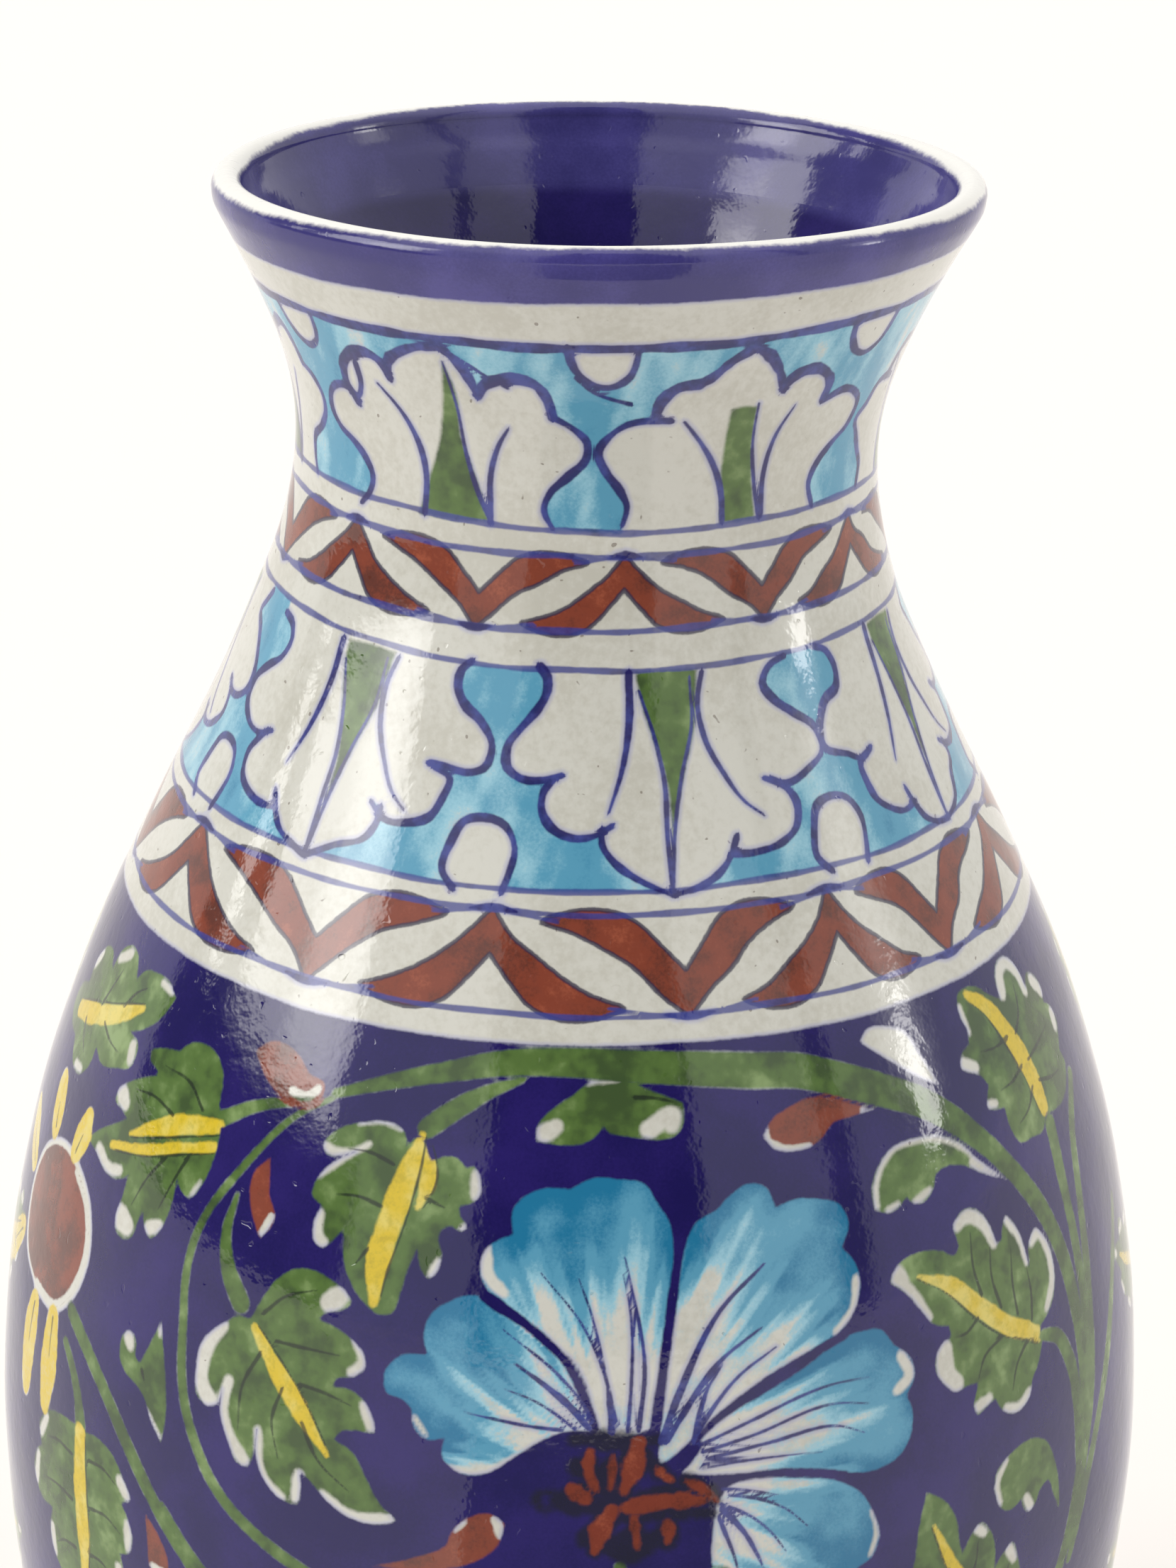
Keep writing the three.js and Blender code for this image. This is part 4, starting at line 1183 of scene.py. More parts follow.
def front_garden(spot):
    """The arch of stems, leaves and buds that frames the fan flower."""
    for points, start, middle, end in STEMS:
        stem(spot, points, start, middle, end)
    for shape in LEAVES:
        leaf(spot, shape["runs"], shape["spared"], shape["ribs"], shape["hairs"])
    for shape in SMALL_LEAVES:
        leaf(spot, shape["runs"], shape["spared"], (), shape["hairs"])
    for runs, spared in BUDS:
        bud(spot, runs, spared)
    blank(spot, (((34.6, 166.5), (36.0, 167.5), (38.6, 167.3), (41.2, 166.3), (42.8, 163.4), (44.4, 159.6)),
                 ((44.4, 159.6), (41.6, 161.2), (38.6, 163.4), (34.6, 166.5))))
    side_flower(spot)


DOME = (
    (-66.5, 128.0), (-60.8, 128.2), (-57.6, 132.0), (-56.6, 136.4), (-58.2, 141.0), (-62.0, 143.6),
    (-67.4, 144.0), (-72.0, 141.0), (-73.4, 136.0), (-71.6, 131.0), (-66.5, 128.0),
)
DOME_PETALS = (
    (((-61.0, 126.4), (-60.9, 121.6), (-61.3, 115.4)), 4.4),
    (((-66.2, 125.6), (-66.8, 120.4), (-67.0, 114.6)), 4.6),
    (((-70.6, 145.2), (-71.6, 147.6), (-72.8, 150.2)), 4.2),
    (((-75.8, 138.6), (-79.0, 141.0), (-82.0, 143.0)), 4.4),
    (((-63.4, 145.4), (-62.8, 147.6), (-62.6, 149.8)), 4.0),
    (((-74.8, 130.4), (-78.2, 127.2), (-81.0, 124.2)), 4.4),
)


def side_flower(spot):
    """A brown dome with a white rim and yellow petals, on the left of the arch."""
    rim = spot(DOME[:-1])
    stroke("reserve", rim + rim[:1], 2.2, 2.4, 2.2)
    area("brown", spot.runs((DOME,)), [(rim[:6], 0.9)])
    for points, width in DOME_PETALS:
        stroke("reserve", spot(points), width * 0.7, width, width * 0.6)
        stroke("yellow", spot(points), width * 0.6 + 0.4, width + 0.4, width * 0.5 + 0.4)
        stroke("dark", spot(points[:2]), 0.4, 0.3, 0.2)


# A plain lobed leaf about the origin: millimetres, with its stalk at the bottom.
SPRAY_LEAF = (
    ((0.0, 0.0), (2.6, -0.4), (5.0, 1.4), (5.8, 4.2), (4.2, 5.4)),
    ((4.2, 5.4), (6.4, 6.4), (7.2, 9.4), (5.8, 11.6), (4.0, 11.4)),
    ((4.0, 11.4), (5.4, 13.4), (5.0, 16.4), (3.2, 17.2), (2.4, 16.2)),
    ((2.4, 16.2), (2.0, 19.0), (0.4, 22.0), (-1.2, 19.4), (-2.0, 16.4)),
    ((-2.0, 16.4), (-3.2, 17.4), (-5.0, 16.0), (-5.4, 13.0), (-4.0, 11.2)),
    ((-4.0, 11.2), (-6.0, 11.2), (-7.2, 8.8), (-6.2, 6.0), (-4.4, 5.2)),
    ((-4.4, 5.2), (-5.8, 3.6), (-4.8, 0.8), (-2.6, -0.4), (0.0, 0.0)),
)
SPRAY_SPARED = (
    (((5.4, 3.0), (5.0, 4.8)), 1.3),
    (((6.6, 8.6), (5.6, 11.0)), 1.5),
    (((5.0, 14.6), (3.8, 16.6)), 1.3),
    (((0.4, 21.0), (0.3, 20.0)), 1.4),
    (((-4.8, 14.8), (-3.8, 16.4)), 1.3),
    (((-6.8, 8.0), (-6.0, 10.4)), 1.5),
    (((-5.2, 2.2), (-4.8, 4.0)), 1.3),
)
SPRAY_RIB = ((0.0, 0.6), (0.3, 6.0), (0.0, 12.0), (0.4, 17.4))
SPRAY_HAIRS = (
    ((0.8, 3.0), (2.6, 3.4), (4.2, 3.6)),
    ((0.8, 8.0), (3.0, 9.0), (5.0, 9.4)),
    ((0.8, 12.6), (2.4, 14.0), (3.6, 15.0)),
    ((-0.8, 3.0), (-2.6, 3.0), (-4.0, 2.8)),
    ((-0.8, 7.6), (-3.0, 8.4), (-5.2, 8.6)),
    ((-0.8, 12.4), (-2.4, 13.6), (-3.6, 14.4)),
)


def spray_leaf(spot, foot, heading, size=1.0):
    """The plain leaf placed with its stalk at foot, pointing along heading, clockwise from up."""
    a = math.radians(heading)
    scale = math.radians(outer_radius(foot[1]))

    def put(points):
        return [(foot[0] + size * (x * math.cos(a) + y * math.sin(a)) / scale,
                 foot[1] + size * (y * math.cos(a) - x * math.sin(a))) for x, y in points]

    runs = [put(shaken(run, 0.25, 0.25)) for run in SPRAY_LEAF]
    spared = [(put(points), width * size) for points, width in SPRAY_SPARED]
    rib = (put(SPRAY_RIB), 1.4 * size, 2.2 * size, 0.5)
    leaf(spot, runs, spared, (rib,), [put(hair) for hair in SPRAY_HAIRS])


# Leaves on a spray or low stem: where the stalk starts, the heading from up, and the size.
SIDE_LEAVES = (
    ((-1.0, 152.0), -6, 0.7), ((5.0, 138.0), 58, 0.72), ((-5.4, 122.0), -62, 0.8),
    ((6.0, 104.0), 66, 0.9), ((-5.0, 84.0), -70, 0.95), ((6.0, 66.0), 76, 0.9),
)
SIDE_STALKS = (
    ((1.4, 134.0), (5.0, 138.0)), ((-1.8, 118.0), (-5.4, 122.0)), ((2.0, 100.0), (6.0, 104.0)),
    ((-1.0, 80.0), (-5.0, 84.0)), ((1.6, 62.0), (6.0, 66.0)),
)
SIDE_STEM = ((2.0, 60.0), (-1.0, 80.0), (2.0, 100.0), (-2.0, 118.0), (2.0, 136.0), (-1.0, 152.0))


def side_garden(spot):
    """An upright spray that fills the ground between the two fan flowers."""
    stem(spot, SIDE_STEM, 2.4, 2.2, 1.0)
    for foot, heading, size in SIDE_LEAVES:
        spray_leaf(spot, foot, heading, size)
    for points in SIDE_STALKS:
        stem(spot, points, 1.2, 1.4, 1.6)


LOW_STEMS = (
    (((-16.0, 107.6), (-10.0, 98.0), (-2.0, 88.0), (6.0, 76.0), (11.0, 62.0), (13.0, 48.0), (12.0, 31.0)),
     1.4, 2.2, 2.6),
    (((51.0, 90.0), (42.0, 80.0), (31.0, 71.0), (22.0, 61.0), (16.0, 50.0), (12.6, 36.0)), 1.6, 2.0, 2.2),
    (((-34.0, 104.6), (-31.0, 94.0), (-24.0, 82.0), (-12.0, 70.0), (2.0, 58.0), (10.0, 44.0)), 1.5, 1.8,
     1.8),
    (((5.0, 115.0), (5.6, 108.0), (4.0, 98.0), (5.0, 84.0)), 1.2, 1.6, 1.4),
)
LOW_LEAVES = (
    ((5.0, 104.0), 64, 0.85), ((-14.0, 96.0), -80, 0.8), ((-30.0, 90.0), -64, 0.9),
    ((11.0, 64.0), 30, 1.0), ((36.0, 74.0), 96, 0.95), ((-14.0, 71.0), -116, 0.95),
    ((24.0, 62.0), 120, 0.85), ((2.0, 58.0), 196, 0.75), ((14.0, 46.0), 88, 0.7),
    ((-40.0, 62.0), -140, 0.8), ((54.0, 60.0), 150, 0.8),
)


def low_garden(spot):
    """Below the belly: the stems gather, and small leaves run down to the foot."""
    for points, start, middle, end in LOW_STEMS:
        stem(spot, points, start, middle, end)
    for foot, heading, size in LOW_LEAVES:
        spray_leaf(spot, foot, heading, size)
    buds = ((-24.0, 62.0), (46.0, 48.0), (-6.0, 92.0), (30.0, 86.0), (62.0, 84.0), (-58.0, 80.0))
    for k, (d, z) in enumerate(buds):
        tip = d + (-1) ** k * 2.2
        bud(spot, (((d, z), (tip + 2.4, z - 2.2), (tip + 2.6, z - 6.0), (tip, z - 8.4)),
                   ((tip, z - 8.4), (tip - 1.6, z - 5.6), (d - 0.8, z - 2.4), (d, z))),
            ((((tip - 0.4, z - 7.6), (tip + 1.6, z - 7.0)), 1.2),))


def paint_everything():
    paint_rings()
    standing_band()
    hanging_band()
    for spec in CHAINS:
        chain(*spec)
    for spot in (Spot(0), Spot(180)):
        flower(spot)
        front_garden(spot)
        low_garden(spot)
    for spot in (Spot(91), Spot(-92, -1)):
        side_garden(spot)
    ground = canvas.layers["ground"]
    ground[:] = np.minimum(np.maximum(ground, -canvas.layers["reserve"]), canvas.layers["gap"])


paint_everything()


# ---- meshes -----------------------------------------------------------------------------------

# Height, and how far the joined sections lean to the right there.
LEAN = ((0, 0.4), (107, 0.44), (163, 0.2), (205, -0.65), (248, 0.44), (254, 0.6))


def lean(z):
    heights, offsets = zip(*LEAN)
    return np.interp(z, heights, offsets)


def hand_wobble(deg, z):
    """How far the hand-joined wall strays from true, in millimetres outwards."""
    a = np.radians(deg)
    settle = np.clip((z - 8) / 40, 0, 1)
    low = 0.16 * np.sin(2 * a + 0.7 + z / 60) + 0.08 * np.sin(3 * a + z / 23)
    rings = 0.04 * np.sin(z / 3.1 + 0.6 * np.sin(a))
    return settle * (low + rings)


def lip_wave(deg, z):
    """The crest's rise and fall round the mouth."""
    a = np.radians(deg)
    wave = 0.38 * np.sin(a) + 0.07 * np.sin(2 * a + 0.4) + 0.05 * np.sin(5 * a)
    return np.clip((z - 236) / 16, 0, 1) * wave


def grid_mesh(name, r, z, layers, pole=False):
    """A turned mesh from rows of radius and height; pole closes its last row onto the axis."""
    rows = len(r)
    deg = canvas.deg
    a = np.radians(deg)[None, :]
    radius = r[:, None] + hand_wobble(deg[None, :], z[:, None])
    height = z[:, None] + lip_wave(deg[None, :], z[:, None])
    aside = lean(z)[:, None]
    co = np.stack((radius * np.sin(a) + aside, -radius * np.cos(a), height), axis=2).reshape(-1, 3)
    i = np.arange(rows if not pole else rows - 1)
    j = np.arange(COLUMNS)
    up = (i + 1) % rows
    right = (j + 1) % COLUMNS
    quads = np.stack(np.broadcast_arrays(
        i[:, None] * COLUMNS + j, i[:, None] * COLUMNS + right, up[:, None] * COLUMNS + right,
        up[:, None] * COLUMNS + j), axis=2).reshape(-1, 4)
    loops = quads.ravel()
    sizes = np.full(len(quads), 4)
    if pole:
        tip = len(co)
        under = tip + 1
        co = np.vstack((co, (lean(z[-1]), 0, z[-1]), (lean(z[0]), 0, z[0])))
        last = (rows - 1) * COLUMNS
        fan = np.stack((last + j, last + right, np.full(COLUMNS, tip)), axis=1)
        base = np.stack((right, j, np.full(COLUMNS, under)), axis=1)
        loops = np.concatenate((loops, fan.ravel(), base.ravel()))
        sizes = np.concatenate((sizes, np.full(2 * COLUMNS, 3)))
    mesh = bpy.data.meshes.new(name)
    mesh.vertices.add(len(co))
    mesh.vertices.foreach_set("co", (co * MM).astype(np.float32).ravel())
    mesh.loops.add(len(loops))
    mesh.loops.foreach_set("vertex_index", loops.astype(np.int32))
    mesh.polygons.add(len(sizes))
    starts = np.concatenate(([0], np.cumsum(sizes)[:-1]))
    mesh.polygons.foreach_set("loop_start", starts.astype(np.int32))
    mesh.update(calc_edges=True)
    mesh.shade_smooth()
    mesh.set_sharp_from_angle(angle=math.radians(45))
    for layer, values in layers.items():
        flat = values.reshape(-1)
        if pole:
            flat = np.concatenate((flat, flat[-1:], flat[:1]))
        attribute = mesh.attributes.new(layer, "FLOAT", "POINT")
        attribute.data.foreach_set("value", flat.astype(np.float32))
    piece = bpy.data.objects.new(name, mesh)
    bpy.context.scene.collection.objects.link(piece)
    return piece


INSIDE_COBALT_Z = 196.0   # the throat is dipped in cobalt down to about here


def inside_layers(z):
    """No painting inside: cobalt in the throat, clear glaze on white slip below it."""
    layers = blank_layers((len(z), COLUMNS))
    edge = INSIDE_COBALT_Z + 1.6 * ripple(np.radians(canvas.deg) * 4, 71)
    layers["ground"] = np.clip(edge[None, :] - z[:, None], -FAR, FAR)
    return layers


def crest_wear_and_highlight(r, z):
    """Distance from the crest's strip where cobalt drew off the white, widened as a painted highlight."""
    a = np.radians(canvas.deg)
    # Wider at the sides and narrower behind: the shape of a painted highlight.
    half = 0.72 + 1.05 * np.sin(a) ** 2 - 0.45 * np.maximum(0, -np.cos(a)) + 0.12 * ripple(a * 9, 23)
    return np.hypot(r - CREST_R, z - HEIGHT)[:, None] - half[None, :]


def section(name, outer, inner_r, inner_z, pole=False, bare=None):
    """A section of the wall: its painted rows outside, then its rims and inside."""
    first, last = outer
    painted = slice(first, last + 1)
    r = np.concatenate((canvas.r[painted], inner_r))
    z = np.concatenate((canvas.z[painted], inner_z))
    inside = inside_layers(inner_z)
    layers = {n: np.vstack((canvas.layers[n][painted], inside[n])) for n in inside}
    # the crest's worn white, partly a painted highlight
    layers["worn"] = crest_wear_and_highlight(r, z)
    layers["bare"] = np.full((len(r), COLUMNS), FAR)
    if bare is not None:
        layers["bare"][:] = bare(r, z)[:, None]
    return grid_mesh(name, r, z, layers, pole)


def inner_rows(high, low, count):
    z = np.linspace(high, low, count)
    return inner_radius(z), z


foot_row, foot_seam_row, belly_row, shoulder_row, lip_row, crest_row = canvas.seam_rows


def make_foot():
    """The foot ring: glazed outside, bare where it stands and inside its hollow."""
    line = through([(FOOT_INNER_R, FOOT_SEAM), (FOOT_INNER_R, 4.0), (FOOT_INNER_R + 0.1, 1.6),
                    (FOOT_INNER_R + 0.5, 0.4), (FOOT_INNER_R + 1.2, 0.0)], 0.6)
    flat = np.stack((np.linspace(FOOT_INNER_R + 2, 39.8, 8), np.zeros(8)), 1)
    inner = np.vstack((line, flat))
    return section("foot_ring_turned", (foot_row, foot_seam_row), inner[:, 0], inner[:, 1],
                   bare=lambda r, z: np.where((r < 40.0) | (z < 0.9), -1.0, z - 1.4))


def make_lower_body():
    """The bowl, closed by its floor inside and by its bare underside within the foot ring."""
    wall_r, wall_z = inner_rows(BELLY_SEAM, FLOOR_TOP + FLOOR_TURN_HEIGHT, 40)
    turn_r = wall_r[-1]
    knots = [(turn_r - inwards, FLOOR_TOP + up) for inwards, up in FLOOR_TURN]
    turn = through([(turn_r, wall_z[-1]), *knots], 1.0)[1:]
    floor_r = np.linspace(turn_r - 12, 2.0, 14)
    r = np.concatenate((wall_r, turn[:, 0], floor_r))
    z = np.concatenate((wall_z, turn[:, 1], np.full(len(floor_r), FLOOR_TOP)))
    return section("lower_body_painted", (foot_seam_row, belly_row), r, z, pole=True,
                   bare=lambda radius, height: np.where(height > FOOT_SEAM + 0.01, FAR, -1.0))


def make_upper_body():
    return section("upper_body_painted", (belly_row, shoulder_row),
                   *inner_rows(SHOULDER_SEAM, BELLY_SEAM, 50))


def make_neck():
    return section("neck_painted", (shoulder_row, lip_row), *inner_rows(LIP_SEAM, SHOULDER_SEAM, 40))


def make_lip():
    """The rolled lip: from the top of the crest over to its inside, and down to the seam."""
    half = LIP_THICKNESS / 2
    turn = np.radians(np.arange(94, 181, 4))
    crest = np.stack((CREST_R + half * np.cos(turn), HEIGHT - half + half * np.sin(turn)), 1)
    z = np.linspace(OUTLINE[-1][0] - 1, LIP_SEAM, 14)
    wall = np.stack((inner_radius(z), z), 1)
    line = through([tuple(crest[-1]), (39.35, 250.6), tuple(wall[0])], 0.4)
    inner = np.vstack((crest[:-1], line[:-1], wall))
    return section("lip_rolled", (lip_row, crest_row), inner[:, 0], inner[:, 1])


def make_bead(name, z):
    """Paste left standing along the inside of a seam, rounded by a wet finger."""
    face = inner_radius(z) - BEAD_DEPTH
    line = through([(inner_radius(z - 4.2) + 0.6, z - 4.2), (face + 0.5, z - 2.4), (face, z),
                    (face + 0.5, z + 2.4), (inner_radius(z + 4.2) + 0.6, z + 4.2)], 0.5)
    layers = inside_layers(line[:, 1])
    layers["bare"] = layers["worn"] = np.full((len(line), COLUMNS), FAR)
    return grid_mesh(name, line[:, 0], line[:, 1], layers)


def make_foot_fillet():
    """Bare paste in the corner between the foot ring and the underside of the bowl."""
    corner = FOOT_INNER_R + 0.3
    line = through([(corner, FOOT_SEAM + 0.3), (corner - 2.2, FOOT_SEAM + 0.3),
                    (corner - 1.1, FOOT_SEAM - 0.9), (corner - 0.2, FOOT_SEAM - 2.2),
                    (corner, FOOT_SEAM - 2.2)], 0.4)
    layers = blank_layers((len(line), COLUMNS))
    layers["bare"] = np.full((len(line), COLUMNS), -1.0)
    return grid_mesh("foot_fillet", line[:, 0], line[:, 1], layers)


# ---- nodes ------------------------------------------------------------------------------------

def srgb(*levels):
    """0 to 255 display levels as linear light, with opaque alpha."""
    shares = [v / 255 for v in levels]
    return tuple(((v + 0.055) / 1.055) ** 2.4 if v > 0.04 else v / 12.92 for v in shares) + (1.0,)


class Tree:
    """Short names for the shader nodes used here."""

    def __init__(self, tree):
        self.nodes, self.links = tree.nodes, tree.links
        self.texture = self.nodes.new("ShaderNodeTexCoord")
        self.where = self.texture.outputs["Object"]

    def feed(self, socket, value):
        if isinstance(value, bpy.types.NodeSocket):
            self.links.new(value, socket)
        else:
            socket.default_value = value

    def value(self, name):
        node = self.nodes.new("ShaderNodeAttribute")
        node.attribute_name = name
        return node.outputs["Fac"]

    def math(self, operation, a, b=0.0):
        node = self.nodes.new("ShaderNodeMath")
        node.operation = operation
        for socket, v in zip(node.inputs, (a, b)):
            self.feed(socket, v)
        return node.outputs[0]

    def sum(self, *terms):
        """Terms added up; a pair is a value and its weight."""
        total = None
        for term in terms:
            part = self.math("MULTIPLY", *term) if isinstance(term, tuple) else term
            total = part if total is None else self.math("ADD", total, part)
        return total

    def split(self, vector):
        node = self.nodes.new("ShaderNodeSeparateXYZ")
        self.links.new(vector, node.inputs[0])
        return node.outputs

    def noise(self, size_mm, detail=2.0, rough=0.5):
        node = self.nodes.new("ShaderNodeTexNoise")
        node.inputs["Scale"].default_value = 1000 / size_mm
        node.inputs["Detail"].default_value = detail
        node.inputs["Roughness"].default_value = rough
        self.links.new(self.where, node.inputs["Vector"])
        return node.outputs["Fac"]

    def ramp(self, value, low, high, to_low=0.0, to_high=1.0):
        node = self.nodes.new("ShaderNodeMapRange")
        node.interpolation_type = "SMOOTHSTEP"
        for socket, v in zip(node.inputs, (value, low, high, to_low, to_high)):
            self.feed(socket, v)
        return node.outputs[0]

    def mix(self, share, a, b):
        node = self.nodes.new("ShaderNodeMix")
        node.data_type = "RGBA"
        self.feed(node.inputs["Factor"], share)
        self.feed(node.inputs[6], a)
        self.feed(node.inputs[7], b)
        return node.outputs[2]


WHITE_SLIP = srgb(204, 204, 196)
WHITE_WARM = srgb(191, 190, 180)
# bare white of the crest, brightened as a painted highlight
CREST_WHITE_AND_HIGHLIGHT = srgb(232, 231, 226)
COBALT_DEEP = srgb(20, 12, 80)
COBALT = srgb(36, 24, 100)
COBALT_BLEED = srgb(128, 132, 196)
# the lip's cobalt: partly its own lighter glaze, partly a painted sheen of ceiling light
LIP_DEEP_WITH_SHEEN = srgb(53, 49, 112)
LIP_COBALT_WITH_SHEEN = srgb(72, 67, 136)
LINE_DEEP = srgb(31, 26, 92)
LINE_THIN = srgb(58, 66, 140)
TURQUOISE_PALE = srgb(146, 194, 211)
TURQUOISE = srgb(86, 152, 182)
TURQUOISE_DEEP = srgb(28, 112, 152)
GREEN_PALE = srgb(124, 150, 92)
GREEN = srgb(74, 104, 42)
GREEN_DEEP = srgb(46, 72, 26)
YELLOW = srgb(208, 182, 44)
YELLOW_PALE = srgb(214, 198, 104)
BROWN = srgb(124, 51, 29)
BROWN_DEEP = srgb(88, 34, 21)
BROWN_THIN = srgb(150, 73, 47)
RIBBON_EDGE = srgb(36, 30, 64)
DARK = srgb(26, 34, 30)
SOOT_BLACK = srgb(22, 22, 34)
SPECK = srgb(92, 76, 64)
BARE_PASTE = srgb(206, 196, 176)


def painted_glaze():
    """White slip, the painter's layers over it, and a clear, slightly rippled glaze."""
    material = bpy.data.materials.new("painted_glaze")
    material.use_nodes = True
    t = Tree(material.node_tree)
    shader = t.nodes["Principled BSDF"]
    grain = t.noise(0.35, 2.0, 0.6)
    fine = t.noise(0.9, 2.0, 0.6)
    broad = t.noise(3.4, 2.0, 0.5)
    cloud = t.noise(14.0, 3.0, 0.55)
    stray = t.sum((fine, 0.55), (broad, 0.4), -0.475)

    def cover(layer, soft, wander):
        """How much of a layer's paint is here."""
        return t.ramp(t.sum(t.value(layer), (stray, wander)), -soft, soft, 1.0, 0.0)

    def pen_distance(layer):
        """Distance from a thin stroke's edge, true even where the grid is coarser than it."""
        side = t.math("ABSOLUTE", t.value(layer + "_side"))
        across = t.math("SUBTRACT", side, t.value(layer + "_half"))
        near = t.sum(t.value(layer), -0.11)
        return t.math("MAXIMUM", across, near)

    paste = t.sum(cloud, (fine, 0.7), -0.35)
    colour = t.mix(t.ramp(paste, 0.35, 0.75), WHITE_SLIP, WHITE_WARM)
    specks = t.ramp(t.noise(0.8, 0.0), 0.82, 0.87)
    colour = t.mix(t.math("MULTIPLY", specks, 0.6), colour, SPECK)

    blue = t.math("MINIMUM", t.value("ground"), pen_distance("line"))
    bleed = t.ramp(t.sum(blue, (stray, 0.5)), 0.0, 0.6, 0.4, 0.0)
    colour = t.mix(bleed, colour, COBALT_BLEED)

    wash = t.sum(t.value("wash"), (broad, 0.6), (cloud, 0.8), (grain, 0.35), -0.875)
    tint = t.mix(t.ramp(wash, 0.25, 0.75), TURQUOISE_PALE, TURQUOISE)
    tint = t.mix(t.ramp(wash, 0.85, 1.4), tint, TURQUOISE_DEEP)
    share = t.math("MULTIPLY", cover("turquoise", 0.3, 0.5), t.ramp(wash, -0.05, 0.35))
    colour = t.mix(share, colour, tint)

    depth = t.sum((broad, 0.6), (cloud, 0.5))
    shade = t.sum(depth, (fine, 0.12), -0.06)
    tint = t.mix(t.ramp(shade, 0.43, 0.58), GREEN_DEEP, GREEN)
    tint = t.mix(t.ramp(shade, 0.57, 0.76), tint, GREEN_PALE)
    colour = t.mix(t.math("MULTIPLY", cover("green", 0.32, 0.6), 0.97), colour, tint)

    ochre = t.sum(depth, (grain, 0.25))
    ochre_tint = t.mix(t.ramp(ochre, 0.52, 0.72), BROWN_DEEP, BROWN)
    ochre_tint = t.mix(t.ramp(ochre, 0.74, 0.92), ochre_tint, BROWN_THIN)
    colour = t.mix(t.math("MULTIPLY", cover("brown", 0.2, 0.6), 0.96), colour, ochre_tint)
    ribbon = t.sum(t.value("ribbon"), (stray, 0.5))
    colour = t.mix(t.ramp(ribbon, -0.15, 0.2, 0.97, 0.0), colour, ochre_tint)
    edge = t.math("ABSOLUTE", t.sum(ribbon, -0.08))
    colour = t.mix(t.ramp(edge, 0.12, 0.36, 0.85, 0.0), colour, RIBBON_EDGE)

    tint = t.mix(t.ramp(shade, 0.5, 0.7), YELLOW, YELLOW_PALE)
    thick = t.ramp(t.sum(fine, (grain, 0.5)), 0.5, 0.85, 0.78, 0.98)
    colour = t.mix(t.math("MULTIPLY", cover("yellow", 0.22, 0.8), thick), colour, tint)

    height = t.split(t.where)[2]
    at_lip = t.ramp(height, 0.2435, 0.2455)
    mottle = t.ramp(t.sum(cloud, (grain, 0.25)), 0.5, 0.85)
    # On the lip, a lighter cobalt: its own glaze, paled further by a painted sheen.
    tint = t.mix(at_lip, t.mix(mottle, COBALT_DEEP, COBALT), t.mix(mottle, LIP_DEEP_WITH_SHEEN, LIP_COBALT_WITH_SHEEN))
    colour = t.mix(cover("ground", 0.2, 0.45), colour, tint)

    colour = t.mix(t.math("MULTIPLY", cover("soot", 0.5, 1.3), 0.8), colour, SOOT_BLACK)
    colour = t.mix(t.math("MULTIPLY", cover("stamen", 0.25, 0.9), 0.92), colour, ochre_tint)

    for layer, deep, thin, strength in (
        ("ring", LINE_DEEP, LINE_THIN, 0.85), ("line", LINE_DEEP, LINE_THIN, 0.96), ("dark", DARK, DARK, 0.8),
    ):
        pen = t.sum(pen_distance(layer), (stray, 0.22))
        worn = (0.3, 0.75) if layer == "ring" else (0.55, 0.9)
        ink = t.mix(t.ramp(t.sum(broad, (fine, 0.4)), *worn), deep, thin)
        colour = t.mix(t.ramp(pen, -0.15, 0.12, strength, 0.0), colour, ink)

    # The crest: worn white with a painted highlight over it.
    colour = t.mix(cover("worn", 0.35, 1.0), colour, CREST_WHITE_AND_HIGHLIGHT)
    bare = cover("bare", 0.2, 0.5)
    colour = t.mix(bare, colour, BARE_PASTE)
    t.feed(shader.inputs["Base Color"], colour)
    rough = t.ramp(t.noise(2.2, 2.0), 0.3, 0.8, 0.045, 0.09)
    t.feed(shader.inputs["Roughness"], t.sum(rough, (bare, 0.6), (at_lip, 0.06)))
    shader.inputs["IOR"].default_value = 1.55

    pits = t.ramp(t.noise(1.1, 0.0), 0.78, 0.88)
    relief = t.sum(t.noise(1.5, 2.0, 0.55), (t.noise(7.0, 1.0), 2.2), (pits, -0.8),
                   (t.math("MULTIPLY", bare, grain), 2.0))
    bump = t.nodes.new("ShaderNodeBump")
    bump.inputs["Strength"].default_value = 1.0
    bump.inputs["Distance"].default_value = 0.00003
    t.links.new(relief, bump.inputs["Height"])
    t.links.new(bump.outputs[0], shader.inputs["Normal"])
    return material


glaze = painted_glaze()

# ---- the pieces -------------------------------------------------------------------------------

PIECES = (
    (make_foot(), ("foot_ring",), "foot_body"),
    (make_foot_fillet(), ("foot_seam",), "foot_body"),
    (make_lower_body(), ("lower_body",), "floral_glaze"),
    (make_bead("belly_bead", BELLY_SEAM), ("belly_seam",), "floral_glaze"),
    (make_upper_body(), ("upper_body",), "banded_glaze"),
    (make_bead("shoulder_bead", SHOULDER_SEAM), ("shoulder_seam",), "banded_glaze"),
    (make_neck(), ("neck",), "neck_glaze"),
    (make_lip(), ("lip", "lip_seam"), "lip_glaze"),
)

for piece, nodes, slot in PIECES:
    piece.data.materials.append(glaze)
    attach(piece, "root")
    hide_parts(*nodes)

# ---- floor, light and camera --------------------------------------------------------------------

FLOOR_WHITE = (0.88, 0.845, 0.82, 1.0)
# grey of a card seen only in reflections: painted shade for the camera's side
REFLECTED_SHADE_GREY = (0.25, 0.25, 0.25, 1.0)


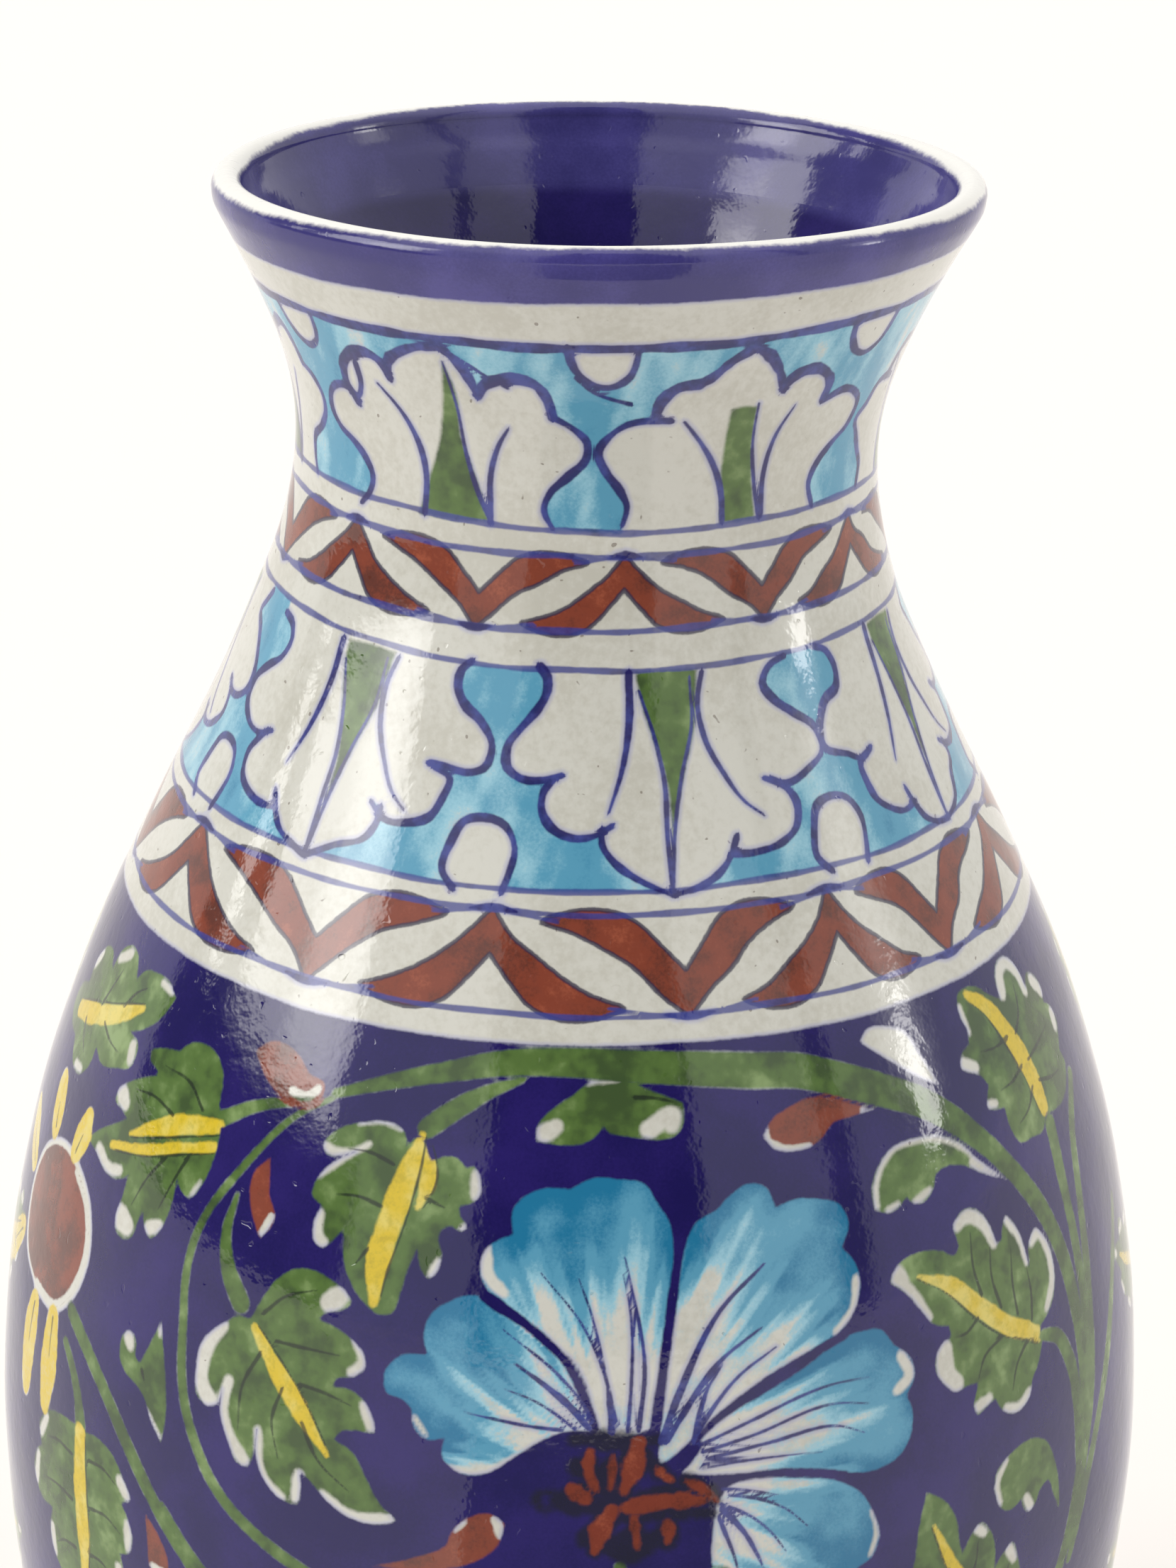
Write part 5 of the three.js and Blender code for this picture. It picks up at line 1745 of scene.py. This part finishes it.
def flat_card(name, corners, colour):
    """A matt card lying level, from its corners in metres."""
    mesh = bpy.data.meshes.new(name)
    mesh.from_pydata(corners, [], [tuple(range(len(corners)))])
    material = bpy.data.materials.new(name)
    material.use_nodes = True
    shader = material.node_tree.nodes["Principled BSDF"]
    shader.inputs["Base Color"].default_value = colour
    shader.inputs["Roughness"].default_value = 0.9
    shader.inputs["Specular IOR Level"].default_value = 0.1
    mesh.materials.append(material)
    card = bpy.data.objects.new(name, mesh)
    bpy.context.scene.collection.objects.link(card)
    return card


def front_point(azimuth, distance, z):
    a = math.radians(azimuth)
    return math.sin(a) * distance, -math.cos(a) * distance, z


# Softboxes and gaps: azimuths from the front towards +X and elevations in degrees, then the
# softness of their edges and the light they add to the room.
PANELS = (
    (-90, -54, 13, 42, 1.2, 3.6),
    (-72, -57, 15, 36, 4.0, 2.9),
    (82, 88, 5, 15, 1.0, 7.0),
    (80, 91, 10, 26, 4.0, 1.5),
    (-101, -97, 10, 25, 1.0, 4.0),
)
SHADES = (
    (-19, 28, -90, 75, 1.5, 0.88),
    (57, 63, -20, 60, 1.5, 0.7),
    (-108, -46, -8, 11, 1.5, 0.8),
    (-125, -91, 11, 48, 1.5, 0.75),
)
ROOM = 0.97
CEILING = 0.55
ROOM_TINT = (1.0, 0.985, 0.96, 1.0)


def studio():
    """A white room with softboxes at the sides and the dark of the camera's side in front."""
    world = bpy.data.worlds.new("studio")
    world.use_nodes = True
    bpy.context.scene.world = world
    t = Tree(world.node_tree)
    x, y, z = t.split(t.texture.outputs["Generated"])
    azimuth = t.math("DEGREES", t.math("ARCTAN2", x, t.math("MULTIPLY", y, -1.0)))
    elevation = t.math("DEGREES", t.math("ARCSINE", z))

    def inside(left, right, low, high, soft):
        share = t.math("MULTIPLY", t.ramp(azimuth, left - soft, left + soft),
                       t.ramp(azimuth, right - soft, right + soft, 1.0, 0.0))
        share = t.math("MULTIPLY", share, t.ramp(elevation, low - soft, low + soft))
        return t.math("MULTIPLY", share, t.ramp(elevation, high - soft, high + soft, 1.0, 0.0))

    light = t.sum(ROOM, (t.ramp(elevation, 35.0, 60.0), CEILING))
    for *edges, depth in SHADES:
        light = t.math("MULTIPLY", light, t.sum(1.0, (inside(*edges), -depth)))
    for *edges, extra in PANELS:
        light = t.sum(light, (inside(*edges), extra))
    background = t.nodes["Background"]
    background.inputs["Color"].default_value = ROOM_TINT
    t.feed(background.inputs["Strength"], light)


def camera():
    cam = bpy.data.cameras.new("camera")
    cam.sensor_width = 36.0
    cam.lens = 93.27
    holder = bpy.data.objects.new("camera", cam)
    holder.matrix_world = (
        Matrix.Translation((0.00095, -0.4541, 0.3436))
        @ Matrix.Rotation(math.radians(90 - 19.79), 4, "X") @ Matrix.Rotation(math.radians(1.38), 4, "Z")
    )
    bpy.context.scene.collection.objects.link(holder)
    bpy.context.scene.camera = holder


flat_card("floor", [(-6, -6, 0), (6, -6, 0), (6, 6, 0), (-6, 6, 0)], FLOOR_WHITE)
# A card seen only in reflections, neither lit nor shadowing: painted shade for the dark camera side.
reflected_shade_card = flat_card("reflected_shade_card", [front_point(-17, 0.2, 0.002), front_point(-17, 1.5, 0.002),
                          front_point(26, 1.5, 0.002), front_point(26, 0.2, 0.002)], REFLECTED_SHADE_GREY)
for rays in ("camera", "diffuse", "shadow"):
    setattr(reflected_shade_card, "visible_" + rays, False)
studio()
camera()
bpy.context.scene.view_settings.view_transform = "Standard"
